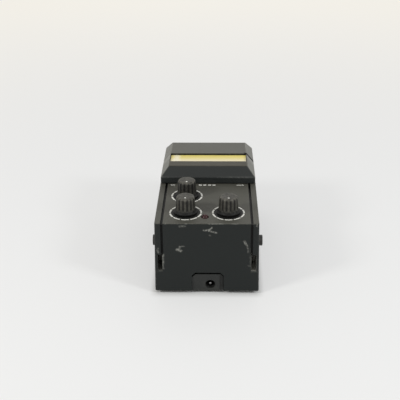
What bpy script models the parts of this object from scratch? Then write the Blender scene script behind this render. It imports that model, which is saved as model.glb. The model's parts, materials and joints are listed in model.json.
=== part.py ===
"""Compact guitar effects pedal with a die-cast shell, a fixed hood, a foot treadle and three knobs.

The pedal stands on its feet with its power-jack end towards -Y, the toe of the treadle towards +Y
and +Z up. The origin is on the floor under the middle of the object's box.
"""

import math

import bmesh
import bpy
from mathutils import Matrix, Vector

MM = 0.001

# General fits
SEAT_GAP = 0.3 * MM  # between two pieces that rest on each other
OVERSHOOT = 1.0 * MM  # how far a cutter runs past the face that it opens
WELD = 0.001 * MM
UPRIGHT = 0.8  # least upward share of an edge's run, for an edge that stands
LEVEL = 0.9  # least upward share of a normal, for a face that lies flat
SHARP_ANGLE = math.radians(35)

# Die-cast shell
BODY_WIDTH = 70.0 * MM  # across the control panel
PANEL_LENGTH = 62.9 * MM  # from the power-jack end to the hood
PANEL_HEIGHT = 52.0 * MM  # control panel above the shell's rim
DRAFT = 0.8 * MM  # each wall leans in by this from rim to panel
SIDE_WALL = 2.6 * MM
END_WALL = 3.6 * MM
ROOF = 3.4 * MM
CORNER_RADIUS = 1.5 * MM
EDGE_RADIUS = 0.5 * MM
RAIL_WIDTH = 4.0 * MM
GROOVE_WIDTH = 1.5 * MM
GROOVE_DEPTH = 1.5 * MM
RAIL_END_HEIGHT = 28.2 * MM  # lower end of the rails, above the rim
POCKET_FLOOR_HEIGHT = 15.8 * MM  # floor of the corner pockets, above the rim
POCKET_DEPTH = 14.0 * MM
POCKET_SIDE_WALL = 1.4 * MM  # left beside each pocket, at the panel's width
PILLAR_WALL = 2.8 * MM

# Bottom plate, its screws and the feet
PLATE_THICKNESS = 1.0 * MM
FOOT_LIFT = 2.5 * MM  # shell's rim above the floor
FOOT_RADIUS = 7.75 * MM
FOOT_SPACING = 2.0 * MM  # between a foot and the screw head beside it
FOOT_INSET = 11.0 * MM  # foot centres from the ends of the shell
FOOT_DIMPLE_RADIUS = 2.6 * MM
FOOT_DIMPLE_DEPTH = 1.0 * MM
SCREW_RADIUS = 1.45 * MM
SCREW_HEAD_RADIUS = 2.8 * MM
SCREW_HEAD_HEIGHT = 1.7 * MM
SCREW_CROWN_RADIUS = 1.7 * MM  # flat middle of the head
SCREW_SHOULDER_RADIUS = 2.5 * MM
SCREW_SHOULDER_HEIGHT = 0.5 * MM  # down from the crown
SCREW_SIDE_HEIGHT = 1.2 * MM
SCREW_TIP = 0.7 * MM
DRIVE_ARM = 1.4 * MM
DRIVE_HALF_WIDTH = 0.35 * MM
DRIVE_DEPTH = 1.0 * MM
SCREW_LENGTH = 9.0 * MM
PLATE_SCREW_INSET = 10.4 * MM  # screw centres from the ends of the shell

# Hood and treadle, which share one bevelled form
CAP_INSET = 0.35 * MM  # on each side, from the shell's width
CAP_WALL = 2.4 * MM
CAP_LIFT = 0.9 * MM  # lower edge above the shell
LIP_RISE = 5.5 * MM  # top of the upright lip above the panel
TOP_RISE = 12.35 * MM  # top surface above the panel, carried back to the lip
BEVEL_SIDE = 5.7 * MM
BEVEL_END = 6.1 * MM
TOP_SLOPE = math.radians(3.25)  # fall towards the toe
HOOD_LENGTH = 32.7 * MM
HOOD_ROOF = 3.4 * MM
TREADLE_LENGTH = 31.9 * MM
TREADLE_GAP = 0.5 * MM
SHOULDER_DROP = 4.0 * MM  # fall of the shell's edge under the treadle's toe
DECK_RISE = 1.5 * MM  # inner deck above the panel
DECK_THICKNESS = 3.0 * MM
DECK_CLEARANCE = 2.0 * MM  # between the deck and the walls that hang round it
DECK_HEADROOM = 0.8 * MM  # between the deck and a wall that crosses above it

# Strip let into the hood
STRIP_START = 15.9 * MM  # from the lip
STRIP_BORDER = 0.2 * MM
STRIP_RECESS = 1.2 * MM
STRIP_THICKNESS = 0.5 * MM

# Hood screws
HOOD_SCREW_INSET = 10.25 * MM  # from the deck's edges
HOOD_SCREW_SETBACK = 13.0 * MM  # from the lip
HOOD_BOSS_RADIUS = 3.75 * MM

# Treadle hinge and springs
HINGE_SETBACK = 5.4 * MM  # hinge axis from the treadle's back edge
HINGE_LIFT = 3.2 * MM  # hinge axis above the deck
HINGE_PIN_RADIUS = 1.25 * MM
HINGE_CLEARANCE = 0.2 * MM
LUG_RADIUS = 2.3 * MM
LUG_WIDTH = 4.0 * MM
LUG_INSET = 8.75 * MM  # lug centres from the deck's edges
LUG_SPACING = 0.5 * MM
SPRING_X = 13.0 * MM
SPRING_SETBACK = 14.0 * MM  # from the treadle's back edge
SPRING_RADIUS = 3.0 * MM
SPRING_WIRE = 0.45 * MM  # wire radius
SPRING_TURNS = 3.5

# Foot switch
SWITCH_CLEARANCE = 0.9 * MM  # from the wall at the toe
SWITCH_SIDE = 14.0 * MM
SWITCH_DEPTH = 14.0 * MM
SWITCH_BUSH_RADIUS = 4.7 * MM
SWITCH_BUSH_RISE = 2.5 * MM  # bush above the deck
SWITCH_NUT_FLATS = 12.5 * MM
SWITCH_NUT_HEIGHT = 1.7 * MM
PLUNGER_RADIUS = 2.5 * MM
PLUNGER_RISE = 1.5 * MM  # plunger above its bush
PLUNGER_LENGTH = 15.0 * MM
PUSHER_RADIUS = 4.0 * MM

# Knobs and potentiometers
POT_X = 14.6 * MM
POT_REAR_ROW = 17.0 * MM  # from the power-jack end
POT_FRONT_ROW = 43.0 * MM
KNOB_SKIRT_RADIUS = 8.1 * MM
KNOB_BODY_RADIUS = 6.8 * MM
KNOB_TOP_RADIUS = 6.4 * MM
KNOB_LIFT = 0.8 * MM
KNOB_HEIGHT = 11.8 * MM
KNOB_SKIRT_EDGE = 0.8 * MM
KNOB_SKIRT_HEIGHT = 3.6 * MM
KNOB_ROUNDING = 1.9 * MM
KNOB_ROOF = 2.4 * MM  # left above the shaft's bore
FLUTES = 14
FLUTE_DEPTH = 0.6 * MM
FLUTE_SHARE = 0.62  # of the knob's circumference, the rest being ridges
DOT_RADIUS = 0.65 * MM
DOT_DEPTH = 0.25 * MM
DOT_OFFSET = 3.0 * MM
SHAFT_RADIUS = 3.0 * MM
SHAFT_FLAT = 2.1 * MM  # flat of the D from the shaft's axis
BUSH_RADIUS = 3.75 * MM
BUSH_RISE = 3.2 * MM  # potentiometer bush above the panel
POT_CAN_RADIUS = 8.2 * MM
POT_CAN_HEIGHT = 8.6 * MM
POT_FLOOR = 2.9 * MM  # left below the shaft's bore
POT_NUT_FLATS = 9.0 * MM
POT_NUT_HEIGHT = 1.8 * MM
WASHER_RADIUS = 5.2 * MM
WASHER_THICKNESS = 0.5 * MM

# Lamp
LED_X = -1.3 * MM
LED_SETBACK = 10.6 * MM
LED_RADIUS = 2.3 * MM
LED_RISE = 1.8 * MM
LED_DEPTH = 8.0 * MM
LED_SPACER_WALL = 1.3 * MM

# Power jack
NOTCH_LEFT = 10.4 * MM
NOTCH_RIGHT = 11.6 * MM
NOTCH_HEIGHT = 14.3 * MM  # above the rim
NOTCH_CHAMFER = 2.4 * MM
DC_PLATE_HEIGHT = 12.2 * MM
DC_PLATE_THICKNESS = 1.6 * MM
DC_PLATE_SETBACK = 1.2 * MM
DC_PLATE_STEP = 0.8 * MM
DC_PLATE_STEP_WIDTH = 2.8 * MM
DC_X = 2.3 * MM
DC_HEIGHT = 4.6 * MM  # socket centre above the rim
DC_HOLE_RADIUS = 3.4 * MM  # in the plate
DC_BORE_WALL = 0.2 * MM  # jack's plastic left below its own bore
DC_PIN_RADIUS = 1.05 * MM
DC_BODY_WIDTH = 14.0 * MM
DC_BODY_HEIGHT = 9.4 * MM
DC_BODY_DEPTH = 14.0 * MM
DC_BORE_DEPTH = 9.5 * MM

# Signal jacks, one on each side
JACK_SETBACK = 38.0 * MM
JACK_HEIGHT = 19.0 * MM  # socket centre above the rim
JACK_BORE_RADIUS = 3.3 * MM
JACK_BORE_DEPTH = 29.0 * MM
JACK_BUSH_RADIUS = 3.9 * MM
JACK_NOSE_RADIUS = 3.8 * MM
JACK_NOSE_LENGTH = 0.5 * MM
JACK_REACH = 4.1 * MM  # bush beyond the side wall
JACK_BODY_SIDE = 15.0 * MM
JACK_BODY_LENGTH = 23.0 * MM
JACK_NUT_FLATS = 10.5 * MM
JACK_NUT_THICKNESS = 1.2 * MM
TIP_SPRING_WIDTH = 2.0 * MM
TIP_SPRING_THICKNESS = 0.5 * MM
TIP_SPRING_ARM = 8.0 * MM
TIP_SLOT_LENGTH = 4.0 * MM

# Circuit board and battery
BOARD_THICKNESS = 1.6 * MM
BOARD_START = 6.5 * MM
BOARD_END = 60.0 * MM
BOARD_CLEARANCE = 2.0 * MM  # from the corner pillars
CHIP_SIZE = (9.8 * MM, 6.4 * MM, 3.6 * MM)
CAPACITOR_RADIUS = 2.5 * MM
CAPACITOR_HEIGHT = 7.0 * MM
CAPACITOR_SPACING = 7.5 * MM
BATTERY_START = 63.0 * MM
BATTERY_SIZE = (46.0 * MM, 26.5 * MM, 17.5 * MM)
BATTERY_X = -3.0 * MM
TERMINAL_HEIGHT = 2.6 * MM
TERMINAL_SPACING = 12.7 * MM
STUD_RADIUS = 2.9 * MM
SOCKET_RADIUS = 4.2 * MM
SNAP_THICKNESS = 3.4 * MM
SNAP_CLEARANCE = 0.4 * MM
SNAP_MARGIN = 1.6 * MM  # snap's edge beyond its larger terminal

# Places worked out from the sizes above
BODY_LENGTH = PANEL_LENGTH + HOOD_LENGTH + TREADLE_GAP + TREADLE_LENGTH
CAP_WIDTH = BODY_WIDTH - 2 * CAP_INSET
REAR = -BODY_LENGTH / 2
FRONT = BODY_LENGTH / 2
RIM_Z = FOOT_LIFT
PANEL_Z = RIM_Z + PANEL_HEIGHT
CEILING_Z = PANEL_Z - ROOF
DECK_Z = PANEL_Z + DECK_RISE
DECK_CEILING_Z = DECK_Z - DECK_THICKNESS
PLATE_TOP = RIM_Z + PLATE_THICKNESS
FLOOR_Z = PLATE_TOP + SEAT_GAP  # where inner pieces stand on the bottom plate
LIP_Y = REAR + PANEL_LENGTH
SPLIT_Y = LIP_Y + HOOD_LENGTH
TREADLE_Y = SPLIT_Y + TREADLE_GAP
GROOVE_X = BODY_WIDTH / 2 - RAIL_WIDTH - GROOVE_WIDTH  # groove's inner edge
POCKET_X = GROOVE_X + GROOVE_WIDTH / 2
CAVITY_X = BODY_WIDTH / 2 - SIDE_WALL
PILLAR_X = POCKET_X - PILLAR_WALL  # pillars' inner faces
PLATE_SCREW_X = (PILLAR_X + CAVITY_X) / 2
FOOT_X = PLATE_SCREW_X - SCREW_HEAD_RADIUS - FOOT_SPACING - FOOT_RADIUS
DECK_X = CAP_WIDTH / 2 - CAP_WALL - DECK_CLEARANCE
DECK_START = LIP_Y + CAP_WALL + DECK_CLEARANCE
DECK_END = FRONT - CAP_WALL - DECK_CLEARANCE
HOOD_SCREW_X = DECK_X - HOOD_SCREW_INSET
LUG_X = DECK_X - LUG_INSET
HINGE_Y = TREADLE_Y + HINGE_SETBACK
HINGE_Z = DECK_Z + HINGE_LIFT
SWITCH_Y = DECK_END - SIDE_WALL - SWITCH_CLEARANCE - SWITCH_SIDE / 2
PLUNGER_TIP_Z = DECK_Z + SWITCH_BUSH_RISE + PLUNGER_RISE
SHAFT_TOP = PANEL_Z + KNOB_LIFT + KNOB_HEIGHT - KNOB_ROOF - SEAT_GAP
BOARD_TOP = CEILING_Z - SEAT_GAP - POT_CAN_HEIGHT - SEAT_GAP
DC_Z = RIM_Z + DC_HEIGHT
DC_BORE_RADIUS = DC_Z - FLOOR_Z - DC_BORE_WALL
JACK_Z = RIM_Z + JACK_HEIGHT
JACK_Y = REAR + JACK_SETBACK
POT_PLACES = {
    "left_rear": (-POT_X, REAR + POT_REAR_ROW),
    "right_rear": (POT_X, REAR + POT_REAR_ROW),
    "left_front": (-POT_X, REAR + POT_FRONT_ROW),
}


def clear_scene():
    for old in list(bpy.data.objects):
        bpy.data.objects.remove(old, do_unlink=True)


def material(name, color, roughness, metallic=0.0):
    made = bpy.data.materials.new(name)
    made.use_nodes = True
    shader = made.node_tree.nodes["Principled BSDF"]
    shader.inputs["Base Color"].default_value = (*color, 1.0)
    shader.inputs["Roughness"].default_value = roughness
    shader.inputs["Metallic"].default_value = metallic
    made.diffuse_color = (*color, 1.0)
    return made


# Shapes. Each function gives a bmesh in world coordinates.


def block(low, high):
    """A box between its lowest and highest corner."""
    bm = bmesh.new()
    bmesh.ops.create_cube(bm, size=1.0)
    bmesh.ops.scale(bm, vec=Vector(high) - Vector(low), verts=bm.verts)
    bmesh.ops.translate(bm, vec=(Vector(high) + Vector(low)) / 2, verts=bm.verts)
    return bm


def extruded(outline, along):
    """A flat outline of points, pushed along a vector into a closed solid."""
    bm = bmesh.new()
    face = bm.faces.new([bm.verts.new(point) for point in outline])
    pushed = bmesh.ops.extrude_face_region(bm, geom=[face], use_keep_orig=True)
    moved = [item for item in pushed["geom"] if isinstance(item, bmesh.types.BMVert)]
    bmesh.ops.translate(bm, vec=along, verts=moved)
    bmesh.ops.recalc_face_normals(bm, faces=bm.faces)
    return bm


def side_profile(points, half_width):
    """A profile of (y, z) points, extruded across the pedal from -half_width to half_width."""
    return extruded([(-half_width, y, z) for y, z in points], (2 * half_width, 0, 0))


def turned(profile, centre=(0, 0, 0), segments=24):
    """A profile of (radius, height) points spun round a vertical axis.

    It is closed either by both ends lying on the axis or, with no point there, back to its start.
    """
    bm = bmesh.new()
    verts = [bm.verts.new((radius, 0, height)) for radius, height in profile]
    ring = min(radius for radius, _ in profile) > 0
    pairs = list(zip(verts, verts[1:])) + ([(verts[-1], verts[0])] if ring else [])
    edges = [bm.edges.new(pair) for pair in pairs]
    bmesh.ops.spin(
        bm,
        geom=verts + edges,
        axis=(0, 0, 1),
        cent=(0, 0, 0),
        angle=math.tau,
        steps=segments,
        use_merge=True,
    )
    bmesh.ops.remove_doubles(bm, verts=bm.verts, dist=WELD)
    bmesh.ops.recalc_face_normals(bm, faces=bm.faces)
    bmesh.ops.translate(bm, vec=centre, verts=bm.verts)
    return bm


def cylinder(centre, radius, low, high, segments=24):
    """An upright cylinder between two heights."""
    return turned([(0, low), (radius, low), (radius, high), (0, high)], (*centre, 0), segments)


def tipped(bm, axis, degrees, pivot):
    """The same shape, turned about an axis through a pivot."""
    turn = Matrix.Rotation(math.radians(degrees), 3, axis)
    bmesh.ops.rotate(bm, cent=pivot, matrix=turn, verts=bm.verts)
    return bm


def several(*shapes):
    """Separate shapes in one mesh, for one cutter that works in many places."""
    mesh = bpy.data.meshes.new("several")
    joined = bmesh.new()
    for shape in shapes:
        shape.to_mesh(mesh)
        joined.from_mesh(mesh)
        shape.free()
    bpy.data.meshes.remove(mesh)
    return joined


def kept_behind(bm, point, normal):
    """Slice a closed solid, keep what lies behind the plane and close the cut."""
    everything = bm.verts[:] + bm.edges[:] + bm.faces[:]
    bmesh.ops.bisect_plane(
        bm, geom=everything, dist=WELD, plane_co=point, plane_no=normal, clear_outer=True
    )
    bmesh.ops.holes_fill(bm, edges=[edge for edge in bm.edges if edge.is_boundary])
    bmesh.ops.recalc_face_normals(bm, faces=bm.faces)
    return bm


def rounded(bm, edges, radius, segments=2):
    bmesh.ops.bevel(
        bm,
        geom=edges,
        offset=radius,
        segments=segments,
        profile=0.5,
        affect="EDGES",
        material=-1,
    )
    return bm


def upright_edges(bm):
    """The edges that run more up than along."""
    steep = []
    for edge in bm.edges:
        run = edge.verts[0].co - edge.verts[1].co
        if abs(run.z) > UPRIGHT * run.length:
            steep.append(edge)
    return steep


def top_outline(bm):
    """The edges where a flat upward face meets a wall."""
    found = []
    for edge in bm.edges:
        lower, upper = sorted(face.normal.z for face in edge.link_faces)
        if upper > LEVEL and abs(lower) < 1 - LEVEL:
            found.append(edge)
    return found


def arc(centre, radius, start, end, steps):
    """Points (a, b) along a circle, from one angle to another in degrees."""
    angles = [math.radians(start + (end - start) * step / steps) for step in range(steps + 1)]
    return [
        (centre[0] + radius * math.cos(angle), centre[1] + radius * math.sin(angle))
        for angle in angles
    ]


def hexagon(flats, low, high):
    """An upright hexagonal prism on the Z axis."""
    corners = arc((0, 0), flats / math.sqrt(3), 0, 300, 5)
    return extruded([(x, y, low) for x, y in corners], (0, 0, high - low))


# Objects


def add_object(name, bm, finish, origin=(0, 0, 0)):
    """Make an object of a shape, with the object's origin where it is asked for."""
    bmesh.ops.translate(bm, vec=-Vector(origin), verts=bm.verts)
    mesh = bpy.data.meshes.new(name)
    bm.to_mesh(mesh)
    bm.free()
    if finish:
        mesh.materials.append(finish)
    mesh.shade_smooth()
    mesh.set_sharp_from_angle(angle=SHARP_ANGLE)
    made = bpy.data.objects.new(name, mesh)
    made.location = origin
    bpy.context.scene.collection.objects.link(made)
    return made


def work(body, operation, label, shape):
    """Cut a shape from a body or join it on. The shape stays on the body as a wire guide."""
    guide = add_object(f"{body.name}_{label}", shape, None, body.location)
    guide.location = (0, 0, 0)
    guide.parent = body
    guide.hide_render = True
    guide.display_type = "WIRE"
    step = body.modifiers.new(label, "BOOLEAN")
    step.operation = operation
    step.solver = "EXACT"
    step.object = guide


def cut(body, label, shape):
    work(body, "DIFFERENCE", label, shape)


def join(body, label, shape):
    work(body, "UNION", label, shape)


# The shell


def side_x(z):
    """Half the shell's width at a height, which the draft makes wider towards the rim."""
    return BODY_WIDTH / 2 + DRAFT * (PANEL_Z - z) / PANEL_HEIGHT


def shell_outside():
    toe_z = PANEL_Z - SHOULDER_DROP
    profile = [
        (REAR, RIM_Z),
        (REAR + DRAFT, PANEL_Z),
        (SPLIT_Y, PANEL_Z),
        (FRONT - DRAFT, toe_z),
        (FRONT, RIM_Z),
    ]
    bm = side_profile(profile, BODY_WIDTH / 2)
    for vert in bm.verts:
        vert.co.x = math.copysign(side_x(vert.co.z), vert.co.x)
    bm.normal_update()
    rounded(bm, upright_edges(bm), CORNER_RADIUS, 3)
    bm.normal_update()
    return rounded(bm, top_outline(bm), EDGE_RADIUS)


def shell_hollow():
    toe_z = CEILING_Z - SHOULDER_DROP
    profile = [
        (REAR + END_WALL, RIM_Z - OVERSHOOT),
        (REAR + END_WALL, CEILING_Z),
        (SPLIT_Y, CEILING_Z),
        (FRONT - END_WALL, toe_z),
        (FRONT - END_WALL, RIM_Z - OVERSHOOT),
    ]
    return side_profile(profile, CAVITY_X)


def deck():
    """The raised inner floor that the hood and the treadle close over."""
    low_z = CEILING_Z - SHOULDER_DROP - OVERSHOOT
    return block((-DECK_X, DECK_START, low_z), (DECK_X, DECK_END, DECK_Z))


def deck_hollow():
    low_z = CEILING_Z - SHOULDER_DROP - 2 * OVERSHOOT
    half = DECK_X - SIDE_WALL
    low = (-half, DECK_START + SIDE_WALL, low_z)
    return block(low, (half, DECK_END - SIDE_WALL, DECK_CEILING_Z))


def corner_pillars():
    """Posts in the four corners: they take the plate's screws, and back the two pockets."""
    outer_x = CAVITY_X + SIDE_WALL / 2
    rear = (REAR + END_WALL / 2, REAR + POCKET_DEPTH + PILLAR_WALL, CEILING_Z + ROOF / 2)
    front_top = CEILING_Z - SHOULDER_DROP + OVERSHOOT
    front_start = FRONT - PLATE_SCREW_INSET - SCREW_RADIUS - PILLAR_WALL
    front = (front_start, FRONT - END_WALL / 2, front_top)
    posts = []
    for start, end, top in (rear, front):
        posts.append(block((PILLAR_X, start, FLOOR_Z), (outer_x, end, top)))
        posts.append(block((-outer_x, start, FLOOR_Z), (-PILLAR_X, end, top)))
    return several(*posts)


def rail_grooves():
    """The two grooves that set off the rails, along the panel and down the end wall."""
    floor_y = REAR + DRAFT + GROOVE_DEPTH
    floor_z = PANEL_Z - GROOVE_DEPTH
    end_y = LIP_Y + CAP_WALL
    profile = [
        (REAR - OVERSHOOT, RIM_Z + RAIL_END_HEIGHT),
        (floor_y, RIM_Z + RAIL_END_HEIGHT),
        (floor_y, floor_z),
        (end_y, floor_z),
        (end_y, PANEL_Z + OVERSHOOT),
        (REAR - OVERSHOOT, PANEL_Z + OVERSHOOT),
    ]
    grooves = []
    for x in (GROOVE_X, -GROOVE_X - GROOVE_WIDTH):
        grooves.append(extruded([(x, y, z) for y, z in profile], (GROOVE_WIDTH, 0, 0)))
    return several(*grooves)


def rail_pockets():
    """The two pockets below the ends of the rails, open to the end and closed at the side."""
    outer_x = BODY_WIDTH / 2 - POCKET_SIDE_WALL
    start, end = REAR - OVERSHOOT, REAR + POCKET_DEPTH
    low_z = RIM_Z + POCKET_FLOOR_HEIGHT
    high_z = RIM_Z + RAIL_END_HEIGHT + WELD
    left = block((-outer_x, start, low_z), (-POCKET_X, end, high_z))
    return several(left, block((POCKET_X, start, low_z), (outer_x, end, high_z)))


def notch_outline(left, right, low_z, high_z, chamfer):
    """An upright rectangle with its two upper corners taken off."""
    return [
        (left, low_z),
        (right, low_z),
        (right, high_z - chamfer),
        (right - chamfer, high_z),
        (left + chamfer, high_z),
        (left, high_z - chamfer),
    ]


def power_notch():
    top = RIM_Z + NOTCH_HEIGHT
    outline = notch_outline(-NOTCH_LEFT, NOTCH_RIGHT, RIM_Z - OVERSHOOT, top, NOTCH_CHAMFER)
    depth = END_WALL + 2 * OVERSHOOT
    return extruded([(x, REAR - OVERSHOOT, z) for x, z in outline], (0, depth, 0))


def panel_holes():
    low, high = CEILING_Z - OVERSHOOT, PANEL_Z + OVERSHOOT
    holes = [
        cylinder(place, BUSH_RADIUS + SEAT_GAP, low, high) for place in POT_PLACES.values()
    ]
    lamp = (LED_X, REAR + LED_SETBACK)
    holes.append(cylinder(lamp, LED_RADIUS + SEAT_GAP, low, high, 16))
    return several(*holes)


def deck_holes():
    low, high = DECK_CEILING_Z - OVERSHOOT, DECK_Z + OVERSHOOT
    holes = [cylinder((0, SWITCH_Y), SWITCH_BUSH_RADIUS + SEAT_GAP, low, high)]
    for x in (-HOOD_SCREW_X, HOOD_SCREW_X):
        place = (x, LIP_Y + HOOD_SCREW_SETBACK)
        holes.append(cylinder(place, SCREW_RADIUS + SEAT_GAP, low, high, 16))
    return several(*holes)


def jack_holes():
    """One bar right across the pedal opens both side walls for the jacks' bushes."""
    reach = side_x(RIM_Z) + OVERSHOOT
    radius = JACK_BUSH_RADIUS + SEAT_GAP
    inner = CAVITY_X - OVERSHOOT
    holes = []
    for low, high in ((-reach, -inner), (inner, reach)):
        hole = cylinder((0, 0), radius, low, high)
        tipped(hole, "Y", 90, (0, 0, 0))
        bmesh.ops.translate(hole, vec=(0, JACK_Y, JACK_Z), verts=hole.verts)
        holes.append(hole)
    return several(*holes)


def plate_screw_places():
    x = PLATE_SCREW_X
    y = BODY_LENGTH / 2 - PLATE_SCREW_INSET
    return {
        "left_rear": (-x, -y),
        "right_rear": (x, -y),
        "left_front": (-x, y),
        "right_front": (x, y),
    }


def pillar_holes():
    top = RIM_Z + SCREW_LENGTH + SEAT_GAP + OVERSHOOT
    radius = SCREW_RADIUS + SEAT_GAP
    return several(
        *[
            cylinder(place, radius, FLOOR_Z - OVERSHOOT, top, 16)
            for place in plate_screw_places().values()
        ]
    )


def lug(x, root_z, upward):
    """A hinge ear LUG_WIDTH thick and centred on x: its round end goes round the hinge pin."""
    start = 0 if upward else 180
    outline = arc((HINGE_Y, HINGE_Z), LUG_RADIUS, start, start + 180, 8)
    outline += [(outline[-1][0], root_z), (outline[0][0], root_z)]
    low_x = x - LUG_WIDTH / 2
    return extruded([(low_x, y, z) for y, z in outline], (LUG_WIDTH, 0, 0))


def hinge_bar(radius, half_length):
    bar = cylinder((0, 0), radius, -half_length, half_length, 20)
    tipped(bar, "Y", 90, (0, 0, 0))
    bmesh.ops.translate(bar, vec=(0, HINGE_Y, HINGE_Z), verts=bar.verts)
    return bar


def make_housing(finish):
    housing = add_object("housing", shell_outside(), finish)
    join(housing, "deck", deck())
    cut(housing, "hollow", shell_hollow())
    cut(housing, "deck_hollow", deck_hollow())
    join(housing, "pillars", corner_pillars())
    cut(housing, "grooves", rail_grooves())
    cut(housing, "pockets", rail_pockets())
    cut(housing, "power_notch", power_notch())
    cut(housing, "panel_holes", panel_holes())
    cut(housing, "deck_holes", deck_holes())
    cut(housing, "jack_holes", jack_holes())
    cut(housing, "pillar_holes", pillar_holes())
    root_z = DECK_Z - DECK_THICKNESS / 2
    join(housing, "lugs", several(lug(-LUG_X, root_z, True), lug(LUG_X, root_z, True)))
    cut(housing, "pin_holes", hinge_bar(HINGE_PIN_RADIUS + HINGE_CLEARANCE, LUG_X + LUG_WIDTH))


# Bottom plate, feet and screws


def make_bottom_plate(finish):
    half_x = CAVITY_X - SEAT_GAP
    half_y = BODY_LENGTH / 2 - END_WALL - SEAT_GAP
    bm = block((-half_x, -half_y, RIM_Z), (half_x, half_y, PLATE_TOP))
    rounded(bm, upright_edges(bm), CORNER_RADIUS)
    plate = add_object("bottom_plate", bm, finish)
    radius = SCREW_RADIUS + SEAT_GAP
    low, high = RIM_Z - OVERSHOOT, PLATE_TOP + OVERSHOOT
    holes = [cylinder(place, radius, low, high, 16) for place in plate_screw_places().values()]
    cut(plate, "screw_holes", several(*holes))


def make_feet(finish):
    top = RIM_Z - SEAT_GAP
    profile = [
        (0, FOOT_DIMPLE_DEPTH),
        (FOOT_DIMPLE_RADIUS, FOOT_DIMPLE_DEPTH),
        (FOOT_DIMPLE_RADIUS, 0),
        (FOOT_RADIUS - EDGE_RADIUS, 0),
        (FOOT_RADIUS, EDGE_RADIUS),
        (FOOT_RADIUS, top),
        (0, top),
    ]
    for side, x in (("left", -FOOT_X), ("right", FOOT_X)):
        for end, y in (("rear", REAR + FOOT_INSET), ("front", FRONT - FOOT_INSET)):
            add_object(f"foot_{side}_{end}", turned(profile, (x, y, 0), 32), finish, (x, y, 0))


def cross(arm, width):
    """The outline of a cross recess."""
    corner = [(arm, -width), (arm, width), (width, width)]
    outline = []
    for quarter in range(4):
        turn = Matrix.Rotation(quarter * math.pi / 2, 2)
        outline += [turn @ Vector(point) for point in corner]
    return outline


def make_screw(name, place, seat_z, length, finish):
    """A pan-head screw driven upwards, with its head under seat_z."""
    low = seat_z - SCREW_HEAD_HEIGHT
    end = seat_z + length
    profile = [
        (0, low),
        (SCREW_CROWN_RADIUS, low),
        (SCREW_SHOULDER_RADIUS, low + SCREW_SHOULDER_HEIGHT),
        (SCREW_HEAD_RADIUS, low + SCREW_SIDE_HEIGHT),
        (SCREW_HEAD_RADIUS, seat_z),
        (SCREW_RADIUS, seat_z),
        (SCREW_RADIUS, end - SCREW_TIP),
        (SCREW_RADIUS - SCREW_TIP, end),
        (0, end),
    ]
    screw = add_object(name, turned(profile, (*place, 0), 16), finish, (*place, seat_z))
    drive = cross(DRIVE_ARM, DRIVE_HALF_WIDTH)
    outline = [(place[0] + x, place[1] + y, low - OVERSHOOT) for x, y in drive]
    cut(screw, "drive", extruded(outline, (0, 0, OVERSHOOT + DRIVE_DEPTH)))


# Hood and treadle


def cap_z(y, rise):
    """A height on the cap's falling surface: rise is measured above the panel at the lip."""
    return PANEL_Z + rise - math.tan(TOP_SLOPE) * (y - LIP_Y)


def cap_form(wall, roof):
    """The bevelled form shared by hood and treadle, or the hollow inside it for a wall over 0."""
    steepness = math.atan2(TOP_RISE - LIP_RISE, BEVEL_SIDE)
    lip = LIP_RISE - wall * math.tan((math.pi / 2 - steepness) / 2)
    top = TOP_RISE - roof
    corner = wall * math.tan(steepness / 2)
    half_x = CAP_WIDTH / 2
    levels = [
        (wall, wall, None),
        (wall, wall, lip),
        (BEVEL_SIDE + corner, BEVEL_END + corner, top),
    ]
    bm = bmesh.new()
    loops = []
    for inset_x, inset_y, rise in levels:
        x, start, end = half_x - inset_x, LIP_Y + inset_y, FRONT - inset_y
        ring = [(-x, start), (x, start), (x, end), (-x, end)]
        base_z = DECK_CEILING_Z - SHOULDER_DROP
        points = [(a, b, base_z if rise is None else cap_z(b, rise)) for a, b in ring]
        verts = [bm.verts.new(point) for point in points]
        loops.append([bm.edges.new((verts[i - 1], verts[i])) for i in range(4)])
    bmesh.ops.bridge_loops(bm, edges=loops[0] + loops[1])
    bmesh.ops.bridge_loops(bm, edges=loops[1] + loops[2])
    bmesh.ops.holes_fill(bm, edges=loops[0] + loops[2])
    bmesh.ops.recalc_face_normals(bm, faces=bm.faces)
    return bm


def cap_outside():
    bm = cap_form(0.0, 0.0)
    return rounded(bm, bm.edges[:], EDGE_RADIUS)


def under_hollow(start, end):
    """Room for the deck under an inner wall of the hood or the treadle."""
    half_x = CAP_WIDTH / 2 - CAP_WALL
    return block((-half_x, start, RIM_Z), (half_x, end, DECK_Z + DECK_HEADROOM))


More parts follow.
